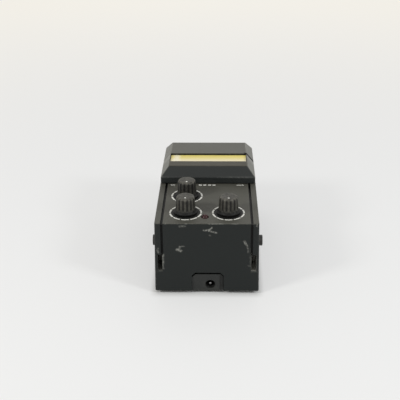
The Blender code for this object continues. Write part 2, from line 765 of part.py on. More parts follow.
def make_hood(finish):
    bm = kept_behind(cap_outside(), (0, SPLIT_Y, 0), (0, 1, 0))
    kept_behind(bm, (0, 0, PANEL_Z + CAP_LIFT), (0, 0, -1))
    hood = add_object("hood", bm, finish)
    wall_y = SPLIT_Y - CAP_WALL
    cut(hood, "hollow", kept_behind(cap_form(CAP_WALL, HOOD_ROOF), (0, wall_y, 0), (0, 1, 0)))
    cut(hood, "under_wall", under_hollow(wall_y - OVERSHOOT, SPLIT_Y + OVERSHOOT))
    y = LIP_Y + HOOD_SCREW_SETBACK
    low = DECK_Z + SEAT_GAP
    high = cap_z(y, TOP_RISE - HOOD_ROOF / 2)
    places = [(-HOOD_SCREW_X, y), (HOOD_SCREW_X, y)]
    bosses = [cylinder(place, HOOD_BOSS_RADIUS, low, high) for place in places]
    join(hood, "bosses", several(*bosses))
    radius = SCREW_RADIUS + SEAT_GAP
    top = DECK_CEILING_Z + SCREW_LENGTH
    holes = [cylinder(place, radius, low - OVERSHOOT, top, 16) for place in places]
    cut(hood, "boss_holes", several(*holes))
    half_x = CAP_WIDTH / 2 - BEVEL_SIDE - STRIP_BORDER
    floor = TOP_RISE - STRIP_RECESS - STRIP_THICKNESS - SEAT_GAP
    start, end = LIP_Y + STRIP_START, SPLIT_Y + OVERSHOOT
    profile = [
        (start, cap_z(start, floor)),
        (end, cap_z(end, floor)),
        (end, cap_z(end, TOP_RISE + OVERSHOOT)),
        (start, cap_z(start, TOP_RISE + OVERSHOOT)),
    ]
    cut(hood, "strip_rebate", side_profile(profile, half_x))


def make_strip(finish):
    half_x = CAP_WIDTH / 2 - BEVEL_SIDE - STRIP_BORDER - SEAT_GAP
    start = LIP_Y + STRIP_START + SEAT_GAP
    end = SPLIT_Y - SEAT_GAP
    low = TOP_RISE - STRIP_RECESS - STRIP_THICKNESS
    high = TOP_RISE - STRIP_RECESS
    profile = [
        (start, cap_z(start, low)),
        (end, cap_z(end, low)),
        (end, cap_z(end, high)),
        (start, cap_z(start, high)),
    ]
    add_object("yellow_strip", side_profile(profile, half_x), finish)


def make_treadle(finish):
    edge = (0, TREADLE_Y, PANEL_Z + CAP_LIFT)
    bm = kept_behind(cap_outside(), edge, (0, -1, 0))
    kept_behind(bm, edge, (0, -math.sin(TOP_SLOPE), -math.cos(TOP_SLOPE)))
    treadle = add_object("treadle", bm, finish, (0, HINGE_Y, HINGE_Z))
    wall_y = TREADLE_Y + CAP_WALL
    cut(treadle, "hollow", kept_behind(cap_form(CAP_WALL, CAP_WALL), (0, wall_y, 0), (0, -1, 0)))
    cut(treadle, "under_wall", under_hollow(TREADLE_Y - OVERSHOOT, wall_y + OVERSHOOT))
    root_z = cap_z(HINGE_Y, TOP_RISE - CAP_WALL / 2)
    x = LUG_X + LUG_WIDTH + LUG_SPACING
    join(treadle, "lugs", several(lug(-x, root_z, False), lug(x, root_z, False)))
    cut(treadle, "pin_holes", hinge_bar(HINGE_PIN_RADIUS + HINGE_CLEARANCE, x + LUG_WIDTH))
    root_z = cap_z(SWITCH_Y, TOP_RISE - CAP_WALL / 2)
    low = PLUNGER_TIP_Z + SEAT_GAP
    join(treadle, "pusher", cylinder((0, SWITCH_Y), PUSHER_RADIUS, low, root_z))


def make_hinge_pin(finish):
    half_length = LUG_X + LUG_WIDTH * 1.5 + LUG_SPACING + OVERSHOOT
    bar = hinge_bar(HINGE_PIN_RADIUS, half_length)
    add_object("hinge_pin", bar, finish, (0, HINGE_Y, HINGE_Z))


def make_treadle_springs(finish):
    y = TREADLE_Y + SPRING_SETBACK
    low = DECK_Z + SEAT_GAP + SPRING_WIRE
    toe_side = y + SPRING_RADIUS + SPRING_WIRE
    high = cap_z(toe_side, TOP_RISE - CAP_WALL) - SEAT_GAP - SPRING_WIRE
    steps = round(SPRING_TURNS * 12)
    for side, x in (("left", -SPRING_X), ("right", SPRING_X)):
        curve = bpy.data.curves.new(f"treadle_spring_{side}", "CURVE")
        curve.dimensions = "3D"
        wire = curve.splines.new("POLY")
        wire.points.add(steps)
        for step, point in enumerate(wire.points):
            angle = math.tau * SPRING_TURNS * step / steps
            across = SPRING_RADIUS * math.cos(angle)
            along = SPRING_RADIUS * math.sin(angle)
            point.co = (across, along, (high - low) * step / steps, 1.0)
        curve.bevel_depth = SPRING_WIRE
        curve.bevel_resolution = 1
        curve.use_fill_caps = True
        curve.materials.append(finish)
        spring = bpy.data.objects.new(f"treadle_spring_{side}", curve)
        spring.location = (x, y, low)
        bpy.context.scene.collection.objects.link(spring)


# Foot switch


def make_foot_switch(body_finish, metal):
    half = SWITCH_SIDE / 2
    top = DECK_CEILING_Z - SEAT_GAP
    low = (-half, SWITCH_Y - half, top - SWITCH_DEPTH)
    bm = block(low, (half, SWITCH_Y + half, top))
    rounded(bm, bm.edges[:], EDGE_RADIUS)
    body = add_object("switch_body", bm, body_finish)
    bush_top = DECK_Z + SWITCH_BUSH_RISE
    centre = (0, SWITCH_Y)
    join(body, "bush", cylinder(centre, SWITCH_BUSH_RADIUS, top - OVERSHOOT, bush_top))
    floor = PLUNGER_TIP_Z - PLUNGER_LENGTH - SEAT_GAP - OVERSHOOT
    bore = cylinder(centre, PLUNGER_RADIUS + SEAT_GAP, floor, bush_top + OVERSHOOT)
    cut(body, "bore", bore)

    nut_low = DECK_Z + SEAT_GAP
    bm = hexagon(SWITCH_NUT_FLATS, nut_low, nut_low + SWITCH_NUT_HEIGHT)
    bmesh.ops.translate(bm, vec=(0, SWITCH_Y, 0), verts=bm.verts)
    nut = add_object("switch_nut", bm, metal, (0, SWITCH_Y, nut_low))
    hole = SWITCH_BUSH_RADIUS + SEAT_GAP
    cut(nut, "thread", cylinder(centre, hole, DECK_Z, DECK_Z + 2 * SWITCH_BUSH_RISE))

    low = PLUNGER_TIP_Z - PLUNGER_LENGTH
    profile = [
        (0, low),
        (PLUNGER_RADIUS, low),
        (PLUNGER_RADIUS, PLUNGER_TIP_Z - EDGE_RADIUS),
        (PLUNGER_RADIUS - EDGE_RADIUS, PLUNGER_TIP_Z),
        (0, PLUNGER_TIP_Z),
    ]
    plunger = turned(profile, (0, SWITCH_Y, 0), 20)
    add_object("switch_plunger", plunger, metal, (0, SWITCH_Y, PLUNGER_TIP_Z))


# Controls


def d_outline(radius, flat, steps=20):
    """A circle with one side flattened at a distance from its centre."""
    half = math.degrees(math.acos(flat / radius))
    return arc((0, 0), radius, half, 360 - half, steps)


def make_potentiometer(label, place, metal, bright):
    centre = (*place, 0)
    can_top = CEILING_Z - SEAT_GAP
    can_low = can_top - POT_CAN_HEIGHT
    bore_floor = can_low + POT_FLOOR
    bush_top = PANEL_Z + BUSH_RISE
    bore = SHAFT_RADIUS + HINGE_CLEARANCE
    profile = [
        (0, can_low),
        (POT_CAN_RADIUS, can_low),
        (POT_CAN_RADIUS, can_top),
        (BUSH_RADIUS, can_top),
        (BUSH_RADIUS, bush_top),
        (bore, bush_top),
        (bore, bore_floor),
        (0, bore_floor),
    ]
    add_object(f"pot_body_{label}", turned(profile, centre, 24), metal, (*place, can_top))

    low = bore_floor + SEAT_GAP
    top = SHAFT_TOP
    axis = (*place, PANEL_Z)
    shaft = add_object(f"pot_shaft_{label}", cylinder(place, SHAFT_RADIUS, low, top), bright, axis)
    flat_low = (place[0] + SHAFT_FLAT, place[1] - SHAFT_RADIUS * 2, bush_top)
    flat_high = (place[0] + SHAFT_RADIUS * 2, place[1] + SHAFT_RADIUS * 2, top + OVERSHOOT)
    cut(shaft, "flat", block(flat_low, flat_high))

    low = PANEL_Z + SEAT_GAP
    hole = BUSH_RADIUS + HINGE_CLEARANCE
    high = low + WASHER_THICKNESS
    ring = [(hole, low), (WASHER_RADIUS, low), (WASHER_RADIUS, high), (hole, high)]
    add_object(f"pot_washer_{label}", turned(ring, centre), bright, (*place, low))

    low = high + SEAT_GAP
    bm = hexagon(POT_NUT_FLATS, low, low + POT_NUT_HEIGHT)
    bmesh.ops.translate(bm, vec=centre, verts=bm.verts)
    nut = add_object(f"pot_nut_{label}", bm, bright, (*place, low))
    cut(nut, "thread", cylinder(place, hole, low - OVERSHOOT, bush_top + OVERSHOOT))


def flute_cutters(place, low, high):
    """Shallow scoops round the knob's body, with a ridge between two of them under the dot."""
    half = FLUTE_SHARE * math.pi / FLUTES
    ridge_x = KNOB_BODY_RADIUS * math.cos(half)
    ridge_y = KNOB_BODY_RADIUS * math.sin(half)
    floor = KNOB_BODY_RADIUS - FLUTE_DEPTH
    scoop = (ridge_y**2 + (ridge_x - floor) ** 2) / (2 * (ridge_x - floor))
    cutters = []
    for flute in range(FLUTES):
        angle = math.tau * (flute + 0.5) / FLUTES - math.pi / 2
        distance = floor + scoop
        centre = (
            place[0] + distance * math.cos(angle),
            place[1] + distance * math.sin(angle),
        )
        cutters.append(cylinder(centre, scoop, low, high, 16))
    return cutters


def make_knob(label, place, finish):
    low = PANEL_Z + KNOB_LIFT
    top = low + KNOB_HEIGHT
    skirt_top = low + KNOB_SKIRT_HEIGHT
    recess_top = PANEL_Z + BUSH_RISE + SEAT_GAP
    recess = POT_NUT_FLATS / math.sqrt(3) + SEAT_GAP
    edge_centre = (KNOB_TOP_RADIUS - KNOB_ROUNDING, top - KNOB_ROUNDING)
    flare = KNOB_SKIRT_RADIUS - KNOB_BODY_RADIUS
    drop = KNOB_SKIRT_HEIGHT - KNOB_SKIRT_EDGE
    bell = [
        (KNOB_SKIRT_RADIUS - flare * across, skirt_top - drop * down)
        for across, down in arc((0, 0), 1, 0, 90, 4)
    ]
    profile = [(0, top)] + arc(edge_centre, KNOB_ROUNDING, 90, 0, 3) + bell
    profile += [(KNOB_SKIRT_RADIUS, low), (recess, low), (recess, recess_top), (0, recess_top)]
    shape = turned(profile, (*place, 0), 2 * FLUTES)
    knob = add_object(f"knob_{label}", shape, finish, (*place, PANEL_Z))
    for number, scoop in enumerate(flute_cutters(place, skirt_top, top + OVERSHOOT)):
        cut(knob, f"flute_{number}", scoop)
    shaft_top = SHAFT_TOP + SEAT_GAP
    bore = d_outline(SHAFT_RADIUS + SEAT_GAP, SHAFT_FLAT + SEAT_GAP)
    start = recess_top - OVERSHOOT
    outline = [(place[0] + x, place[1] + y, start) for x, y in bore]
    cut(knob, "shaft_bore", extruded(outline, (0, 0, shaft_top - start)))
    dot = (place[0], place[1] - DOT_OFFSET)
    cut(knob, "dot", cylinder(dot, DOT_RADIUS, top - DOT_DEPTH, top + OVERSHOOT, 12))


def make_lamp(lens_finish, spacer_finish):
    place = (LED_X, REAR + LED_SETBACK, 0)
    top = PANEL_Z + LED_RISE
    low = top - LED_DEPTH
    dome = arc((0, top - LED_RADIUS), LED_RADIUS, 0, 90, 5)
    dome = [(max(radius, 0.0), height) for radius, height in dome[:-1]] + [(0, top)]
    profile = [(0, low), (LED_RADIUS, low)] + dome
    lens = turned(profile, place, 20)
    add_object("led_lens", lens, lens_finish, (place[0], place[1], low))
    inner = LED_RADIUS + SEAT_GAP
    outer = inner + LED_SPACER_WALL
    foot = BOARD_TOP + SEAT_GAP
    spacer_top = CEILING_Z - SEAT_GAP
    seat = low - SEAT_GAP
    profile = [
        (0, foot),
        (outer, foot),
        (outer, spacer_top),
        (inner, spacer_top),
        (inner, seat),
        (0, seat),
    ]
    spacer = turned(profile, place, 20)
    add_object("led_spacer", spacer, spacer_finish, (place[0], place[1], foot))


# Jacks


def make_power_jack(plastic, bright):
    face_y = REAR + DC_PLATE_SETBACK
    back_y = face_y + DC_PLATE_THICKNESS
    left, right = -NOTCH_LEFT + SEAT_GAP, NOTCH_RIGHT - SEAT_GAP
    low = RIM_Z + SEAT_GAP
    outline = notch_outline(left, right, low, low + DC_PLATE_HEIGHT, NOTCH_CHAMFER)
    bm = extruded([(x, face_y, z) for x, z in outline], (0, DC_PLATE_THICKNESS, 0))
    plate = add_object("dc_plate", bm, plastic)
    step_low = (right - DC_PLATE_STEP_WIDTH, face_y - OVERSHOOT, low - OVERSHOOT)
    step_high = (right + OVERSHOOT, face_y + DC_PLATE_STEP, low + DC_PLATE_HEIGHT + OVERSHOOT)
    cut(plate, "step", block(step_low, step_high))

    body_y = back_y + SEAT_GAP
    body_low = (DC_X - DC_BODY_WIDTH / 2, body_y, FLOOR_Z)
    body_high = (DC_X + DC_BODY_WIDTH / 2, body_y + DC_BODY_DEPTH, FLOOR_Z + DC_BODY_HEIGHT)
    body = add_object("dc_jack_body", block(body_low, body_high), plastic)
    for owner, radius, start, end in (
        (plate, DC_HOLE_RADIUS, face_y - OVERSHOOT, back_y + OVERSHOOT),
        (body, DC_BORE_RADIUS, body_y - OVERSHOOT, body_y + DC_BORE_DEPTH),
    ):
        hole = cylinder((0, 0), radius, start, end)
        tipped(hole, "X", -90, (0, 0, 0))
        bmesh.ops.translate(hole, vec=(DC_X, 0, DC_Z), verts=hole.verts)
        cut(owner, "socket", hole)

    tip_y = face_y + DC_PLATE_THICKNESS / 2
    root_y = body_y + DC_BORE_DEPTH - SEAT_GAP
    round_y = tip_y + DC_PIN_RADIUS / 2
    profile = [
        (0, tip_y),
        (DC_PIN_RADIUS / 2, tip_y),
        (DC_PIN_RADIUS, round_y),
        (DC_PIN_RADIUS, root_y),
        (0, root_y),
    ]
    pin = turned(profile, (0, 0, 0), 16)
    tipped(pin, "X", -90, (0, 0, 0))
    bmesh.ops.translate(pin, vec=(DC_X, 0, DC_Z), verts=pin.verts)
    add_object("dc_pin", pin, bright, (DC_X, root_y, DC_Z))


def facing_out(bm, side):
    """Lay an upright shape on its side at a jack: what was up points out of the pedal."""
    tipped(bm, "Y", 90 * side, (0, 0, 0))
    bmesh.ops.translate(bm, vec=(0, JACK_Y, JACK_Z), verts=bm.verts)
    return bm


def make_signal_jack(name, side, plastic, bright):
    """A signal jack whose bush comes out through the side wall. side is -1 on the left."""
    inner = CAVITY_X - SEAT_GAP
    tip = side_x(JACK_Z) + JACK_REACH
    half = JACK_BODY_SIDE / 2
    bm = block((-half, -half, inner - JACK_BODY_LENGTH), (half, half, inner))
    rounded(bm, bm.edges[:], EDGE_RADIUS)
    body = add_object(f"{name}_jack_body", facing_out(bm, side), plastic)
    profile = [
        (0, inner - OVERSHOOT),
        (JACK_BUSH_RADIUS, inner - OVERSHOOT),
        (JACK_BUSH_RADIUS, tip - JACK_NOSE_LENGTH),
        (JACK_NOSE_RADIUS, tip),
        (0, tip),
    ]
    join(body, "bush", facing_out(turned(profile), side))
    bore = cylinder((0, 0), JACK_BORE_RADIUS, tip - JACK_BORE_DEPTH, tip + OVERSHOOT)
    cut(body, "bore", facing_out(bore, side))

    # The tip contact stands in a slot in the body's top, over the end of the bore.
    slot_half = TIP_SPRING_WIDTH / 2 + SEAT_GAP
    start = tip - JACK_BORE_DEPTH + OVERSHOOT
    slot = block(
        (side * start, JACK_Y - slot_half, JACK_Z + JACK_BORE_RADIUS / 2),
        (side * (start + TIP_SLOT_LENGTH), JACK_Y + slot_half, JACK_Z + half + OVERSHOOT),
    )
    bmesh.ops.recalc_face_normals(slot, faces=slot.faces)
    cut(body, "contact_slot", slot)
    leg = start + SEAT_GAP
    foot_z = JACK_Z + JACK_BORE_RADIUS + SEAT_GAP
    arm_z = JACK_Z + half + SEAT_GAP
    outline = [
        (leg, foot_z),
        (leg + TIP_SPRING_THICKNESS, foot_z),
        (leg + TIP_SPRING_THICKNESS, arm_z),
        (leg + TIP_SPRING_ARM, arm_z),
        (leg + TIP_SPRING_ARM, arm_z + TIP_SPRING_THICKNESS),
        (leg, arm_z + TIP_SPRING_THICKNESS),
    ]
    spring_y = JACK_Y - TIP_SPRING_WIDTH / 2
    points = [(side * x, spring_y, z) for x, z in outline]
    contact = extruded(points, (0, TIP_SPRING_WIDTH, 0))
    add_object(f"{name}_tip_contact", contact, bright)

    nut_half = JACK_NUT_FLATS / math.sqrt(3)
    seat = side_x(JACK_Z - nut_half) + SEAT_GAP
    nut = facing_out(hexagon(JACK_NUT_FLATS, seat, seat + JACK_NUT_THICKNESS), side)
    nut = add_object(f"{name}_jack_nut", nut, plastic)
    hole = cylinder((0, 0), JACK_BUSH_RADIUS + HINGE_CLEARANCE, seat - OVERSHOOT, tip + OVERSHOOT)
    cut(nut, "thread", facing_out(hole, side))


# Inside


def make_circuit_board(board_finish, chip_finish, can_finish):
    half_x = PILLAR_X - BOARD_CLEARANCE
    low = (-half_x, REAR + BOARD_START, BOARD_TOP - BOARD_THICKNESS)
    bm = block(low, (half_x, REAR + BOARD_END, BOARD_TOP))
    add_object("circuit_board", rounded(bm, upright_edges(bm), CORNER_RADIUS), board_finish)
    seat = BOARD_TOP + SEAT_GAP
    width, depth, height = CHIP_SIZE
    chip_y = REAR + (POT_REAR_ROW + POT_FRONT_ROW) / 2
    low = (-width / 2, chip_y - depth / 2, seat)
    chip = block(low, (width / 2, chip_y + depth / 2, seat + height))
    add_object("amplifier_chip", rounded(chip, upright_edges(chip), EDGE_RADIUS), chip_finish)
    y = REAR + POT_FRONT_ROW
    for number in range(3):
        place = (number * CAPACITOR_SPACING, y)
        profile = [
            (0, seat),
            (CAPACITOR_RADIUS, seat),
            (CAPACITOR_RADIUS, seat + CAPACITOR_HEIGHT - EDGE_RADIUS),
            (CAPACITOR_RADIUS - EDGE_RADIUS, seat + CAPACITOR_HEIGHT),
            (0, seat + CAPACITOR_HEIGHT),
        ]
        can = turned(profile, (*place, 0), 16)
        add_object(f"capacitor_{number + 1}", can, can_finish, (*place, seat))


def make_battery(finish, snap_finish):
    length, depth, height = BATTERY_SIZE
    left = BATTERY_X - length / 2
    right = BATTERY_X + length / 2
    start = REAR + BATTERY_START
    bm = block((left, start, FLOOR_Z), (right, start + depth, FLOOR_Z + height))
    battery = add_object("battery", rounded(bm, bm.edges[:], EDGE_RADIUS * 2), finish)
    centre_y = start + depth / 2
    centre_z = FLOOR_Z + height / 2
    snap_low = right + SEAT_GAP
    for label, radius, y in (
        ("stud", STUD_RADIUS, centre_y - TERMINAL_SPACING / 2),
        ("socket", SOCKET_RADIUS, centre_y + TERMINAL_SPACING / 2),
    ):
        terminal = cylinder((0, 0), radius, right - OVERSHOOT, right + TERMINAL_HEIGHT, 16)
        tipped(terminal, "Y", 90, (0, 0, 0))
        bmesh.ops.translate(terminal, vec=(0, y, centre_z), verts=terminal.verts)
        join(battery, label, terminal)
    half_z = SOCKET_RADIUS + SNAP_MARGIN
    half_y = TERMINAL_SPACING / 2 + half_z
    low = (snap_low, centre_y - half_y, centre_z - half_z)
    bm = block(low, (snap_low + SNAP_THICKNESS, centre_y + half_y, centre_z + half_z))
    snap = add_object("battery_snap", rounded(bm, bm.edges[:], EDGE_RADIUS), snap_finish)
    for label, radius, y in (
        ("stud", STUD_RADIUS, centre_y - TERMINAL_SPACING / 2),
        ("socket", SOCKET_RADIUS, centre_y + TERMINAL_SPACING / 2),
    ):
        end = right + TERMINAL_HEIGHT + SEAT_GAP
        room = cylinder((0, 0), radius + SNAP_CLEARANCE, snap_low - OVERSHOOT, end, 16)
        tipped(room, "Y", 90, (0, 0, 0))
        bmesh.ops.translate(room, vec=(0, y, centre_z), verts=room.verts)
        cut(snap, label, room)


def main():
    clear_scene()
    shell_paint = material("shell paint", (0.035, 0.036, 0.035), 0.5)
    cap_paint = material("cap paint", (0.06, 0.06, 0.057), 0.45)
    strip = material("yellow strip", (0.72, 0.6, 0.2), 0.35)
    black_plastic = material("black plastic", (0.02, 0.02, 0.02), 0.4)
    rubber = material("rubber", (0.03, 0.03, 0.03), 0.8)
    plated_steel = material("plated steel", (0.6, 0.6, 0.6), 0.3, 1.0)
    dull_steel = material("dull steel", (0.35, 0.35, 0.35), 0.5, 1.0)
    red_lens = material("red lens", (0.25, 0.02, 0.02), 0.15)
    board_green = material("board green", (0.05, 0.2, 0.08), 0.5)
    battery_label = material("battery label", (0.1, 0.1, 0.12), 0.4)

    make_housing(shell_paint)
    make_bottom_plate(dull_steel)
    make_feet(rubber)
    for label, place in plate_screw_places().items():
        make_screw(f"plate_screw_{label}", place, RIM_Z - SEAT_GAP, SCREW_LENGTH, plated_steel)
    make_hood(cap_paint)
    for side, x in (("left", -HOOD_SCREW_X), ("right", HOOD_SCREW_X)):
        place = (x, LIP_Y + HOOD_SCREW_SETBACK)
        length = SCREW_LENGTH - SEAT_GAP - OVERSHOOT
        seat_z = DECK_CEILING_Z - SEAT_GAP
        make_screw(f"hood_screw_{side}", place, seat_z, length, plated_steel)
    make_strip(strip)
    make_treadle(cap_paint)
    make_hinge_pin(plated_steel)
    make_treadle_springs(plated_steel)
    make_foot_switch(black_plastic, plated_steel)
    for label, place in POT_PLACES.items():
        make_potentiometer(label, place, dull_steel, plated_steel)
        make_knob(label, place, black_plastic)
    make_lamp(red_lens, black_plastic)
    make_power_jack(black_plastic, plated_steel)
    make_signal_jack("output", -1, black_plastic, plated_steel)
    make_signal_jack("input", 1, black_plastic, plated_steel)
    make_circuit_board(board_green, black_plastic, black_plastic)
    make_battery(battery_label, black_plastic)


main()
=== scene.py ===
# %% [markdown]
# # A compact guitar effects pedal, dressed for the camera
#
# The real object is a die-cast box with a painted shell, a fixed hood, a treadle that rocks on a
# hinge pin, three knobs, a lamp and jacks in its sides and end. The exact solids come ready made,
# in metres, with +Z up. This lesson gives them what solids lack: rounded edges that catch light,
# worn paint, moulded plastic, printed scales and rubber.
#
# Everything could be modelled again by hand, but then it might drift from the real sizes. So the
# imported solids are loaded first, and every later piece takes its place from them.

# %% Load the solids
import json
import math

import bmesh
import bpy
from mathutils import Matrix, Vector


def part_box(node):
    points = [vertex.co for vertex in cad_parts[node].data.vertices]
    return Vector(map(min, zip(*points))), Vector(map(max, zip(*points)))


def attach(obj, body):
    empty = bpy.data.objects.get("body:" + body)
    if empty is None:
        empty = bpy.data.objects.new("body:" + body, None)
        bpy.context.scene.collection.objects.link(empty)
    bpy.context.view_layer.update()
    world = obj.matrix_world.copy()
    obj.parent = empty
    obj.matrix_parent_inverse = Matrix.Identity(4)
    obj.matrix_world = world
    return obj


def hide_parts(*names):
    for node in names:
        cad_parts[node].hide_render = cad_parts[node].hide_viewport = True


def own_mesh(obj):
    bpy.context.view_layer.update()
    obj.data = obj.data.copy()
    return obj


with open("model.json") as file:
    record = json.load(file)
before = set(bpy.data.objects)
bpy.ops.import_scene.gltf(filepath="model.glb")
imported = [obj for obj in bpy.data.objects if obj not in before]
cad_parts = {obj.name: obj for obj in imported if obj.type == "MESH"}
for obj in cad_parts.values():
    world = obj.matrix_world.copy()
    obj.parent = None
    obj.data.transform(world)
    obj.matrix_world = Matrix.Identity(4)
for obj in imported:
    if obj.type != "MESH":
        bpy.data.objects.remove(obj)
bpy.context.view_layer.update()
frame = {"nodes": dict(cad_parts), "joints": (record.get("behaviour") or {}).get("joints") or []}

# %% [markdown]
# ## Places
#
# A piece is placed from the solids themselves: the shell's box gives the two ends, the washers
# stand on the control panel, and the knobs give their own centres. Reading these once, here, keeps
# numbers from being typed twice.

# %% Read the main places
MM = 0.001
shell_low, shell_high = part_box("housing")
REAR, FRONT, RIM = shell_low.y, shell_high.y, shell_low.z
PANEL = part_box("pot_washer_left_rear")[0].z - 0.3 * MM
KNOBS = ("left_rear", "right_rear", "left_front")


def centre_of(node):
    low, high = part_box(node)
    return (low + high) / 2


print("panel at", round(PANEL / MM, 2), "mm,", len(KNOBS), "knobs")

# %% [markdown]
# ## Shader maths that reads like maths
#
# A finish is a tree of small nodes. It could be drawn by hand in the Shader Editor, but a tree of
# sixty nodes is hard to read back. The class below wraps one socket, so that `1 - mask * 0.5` adds
# the Math nodes for that expression.

# %% A socket that takes part in expressions
class Socket:
    """One output of a finish's node tree. Arithmetic on it adds Math nodes."""

    def __init__(self, finish, link):
        self.finish, self.link = finish, link

    def maths(self, operation, *values):
        return self.finish.add("ShaderNodeMath", {"operation": operation}, dict(enumerate(values)))

    def __add__(self, other):
        return self.maths("ADD", self, other)

    def __radd__(self, other):
        return self.maths("ADD", other, self)

    def __sub__(self, other):
        return self.maths("SUBTRACT", self, other)

    def __rsub__(self, other):
        return self.maths("SUBTRACT", other, self)

    def __mul__(self, other):
        return self.maths("MULTIPLY", self, other)

    def __rmul__(self, other):
        return self.maths("MULTIPLY", other, self)

    def __truediv__(self, other):
        return self.maths("DIVIDE", self, other)

    def __rtruediv__(self, other):
        return self.maths("DIVIDE", other, self)

    def __abs__(self):
        return self.maths("ABSOLUTE", self)

    def at_most(self, other):
        return self.maths("MINIMUM", self, other)

    def at_least(self, other):
        return self.maths("MAXIMUM", self, other)


# %% [markdown]
# ## A finish
#
# Each material starts from the Principled shader. Its nodes are added through one method, which
# takes the node's type, its settings and what goes into its sockets, in that order, because some
# sockets only appear once a setting is made. The other methods are patterns that every finish
# shares: they all read Object coordinates, so a pattern stays put when a piece moves on its joint.

# %% The finish and its shared patterns
def linear(red, green, blue):
    """A colour given in screen values from 0 to 255, as the linear colour that a shader wants."""
    values = [channel / 255 for channel in (red, green, blue)]
    return tuple(v / 12.92 if v <= 0.04045 else ((v + 0.055) / 1.055) ** 2.4 for v in values)


class Finish:
    """A material built one node at a time."""

    def __init__(self, name):
        self.material = bpy.data.materials.new(name)
        self.material.use_nodes = True
        self.tree = self.material.node_tree
        self.shader = self.tree.nodes["Principled BSDF"]
        self.place = self.add("ShaderNodeTexCoord", {}, {}, "Object")

    def add(self, kind, settings, sockets, output=0):
        node = self.tree.nodes.new(kind)
        for name, value in settings.items():
            setattr(node, name, value)
        for key, value in sockets.items():
            self.feed(node.inputs[key], value)
        return Socket(self, node.outputs[output])

    def feed(self, socket, value):
        if isinstance(value, Socket):
            self.tree.links.new(value.link, socket)
        elif hasattr(socket.default_value, "__len__") and len(socket.default_value) == 4:
            socket.default_value = (*value[:3], 1.0)
        else:
            socket.default_value = value

    def set(self, **values):
        """Feed the Principled shader: base_color=..., roughness=... and so on."""
        for name, value in values.items():
            self.feed(self.shader.inputs[name.replace("_", " ").title().replace("Ior", "IOR")], value)

    def vector(self, operation, *values, output=0):
        sockets = dict(enumerate(values))
        return self.add("ShaderNodeVectorMath", {"operation": operation}, sockets, output)

    def axis(self, name, source=None):
        return self.add("ShaderNodeSeparateXYZ", {}, {0: source or self.place}, name)

    def noise(self, size, detail=2.0, roughness=0.5, stretch=(1, 1, 1)):
        """Clouds with features about this many metres across, from 0 to 1."""
        scale = tuple(factor / size for factor in stretch)
        spot = self.add("ShaderNodeMapping", {}, {"Vector": self.place, "Scale": scale})
        sockets = {"Vector": spot, "Scale": 1.0, "Detail": detail, "Roughness": roughness}
        return self.add("ShaderNodeTexNoise", {}, sockets)

    def ramp(self, value, start, end):
        """A smooth step from 0 at start to 1 at end. It falls where end is below start."""
        low, high = (start, end) if start < end else (end, start)
        rising = start < end
        sockets = {
            "Value": value, "From Min": low, "From Max": high,
            "To Min": 0.0 if rising else 1.0, "To Max": 1.0 if rising else 0.0,
        }
        return self.add("ShaderNodeMapRange", {"interpolation_type": "SMOOTHSTEP"}, sockets)

    def mix(self, factor, first, second):
        """One colour over another."""
        return self.add("ShaderNodeMix", {"data_type": "RGBA"}, {0: factor, 6: first, 7: second}, 2)

    def bump(self, height, distance, strength=1.0):
        sockets = {"Height": height, "Distance": distance, "Strength": strength}
        return self.add("ShaderNodeBump", {}, sockets)


print("colour check:", [round(v, 3) for v in linear(128, 128, 128)])

# %% [markdown]
# ## Where paint wears
#
# Paint wears first where two faces meet. A curvature map could be baked for this, but the main
# forms here are plain, flat-sided shapes whose planes are known. So wear is found by arithmetic:
# each plane gives 1 on itself, fading to 0 a little way in. On one face that sum is 1, and near an
# edge it passes 1, so what is above 1 is the edge.

# %% Edges found from planes
def near_plane(finish, plane, reach):
    """1 on a plane, falling to 0 this far behind it. A plane is (normal, point), mirrored in x."""
    normal, point = plane
    unit = Vector(normal).normalized()
    x, y, z = (finish.axis(name) for name in "XYZ")
    folded = finish.add("ShaderNodeCombineXYZ", {}, {0: abs(x), 1: y, 2: z})
    depth = unit.dot(Vector(point)) - finish.vector("DOT_PRODUCT", folded, tuple(unit), output=1)
    return finish.ramp(depth, reach, 0.0)


def near_edges(finish, planes, reach):
    """A mask of the strips along the edges where these planes meet."""
    total = near_plane(finish, planes[0], reach)
    for plane in planes[1:]:
        total = total + near_plane(finish, plane, reach)
    return (total - 1).at_least(0.0).at_most(1.0)


def ragged(finish, size, reach):
    """The surface's own place, pushed about by noise, so that what is drawn there has torn edges."""
    cloud = finish.noise(size, 2.0, 0.6)
    sockets = {0: (cloud - 0.5) * 2 * reach, 2: (0.5 - cloud) * reach}
    push = finish.add("ShaderNodeCombineXYZ", {}, sockets)
    return finish.vector("ADD", finish.place, push)


def streak(finish, spot, start, end, width):
    """A mask along one line between two points, for a scratch that is deep in its middle."""
    start, end = Vector(start), Vector(end)
    along = end - start
    offset = finish.vector("SUBTRACT", spot, tuple(start))
    run = tuple(along / along.length_squared)
    share = finish.vector("DOT_PRODUCT", offset, run, output=1).at_least(0.0).at_most(1.0)
    spine = finish.add("ShaderNodeVectorMath", {"operation": "SCALE"}, {0: tuple(along), "Scale": share})
    away = finish.vector("DISTANCE", offset, spine, output=1)
    return finish.ramp(away, 1.5 * width, 0.2 * width)
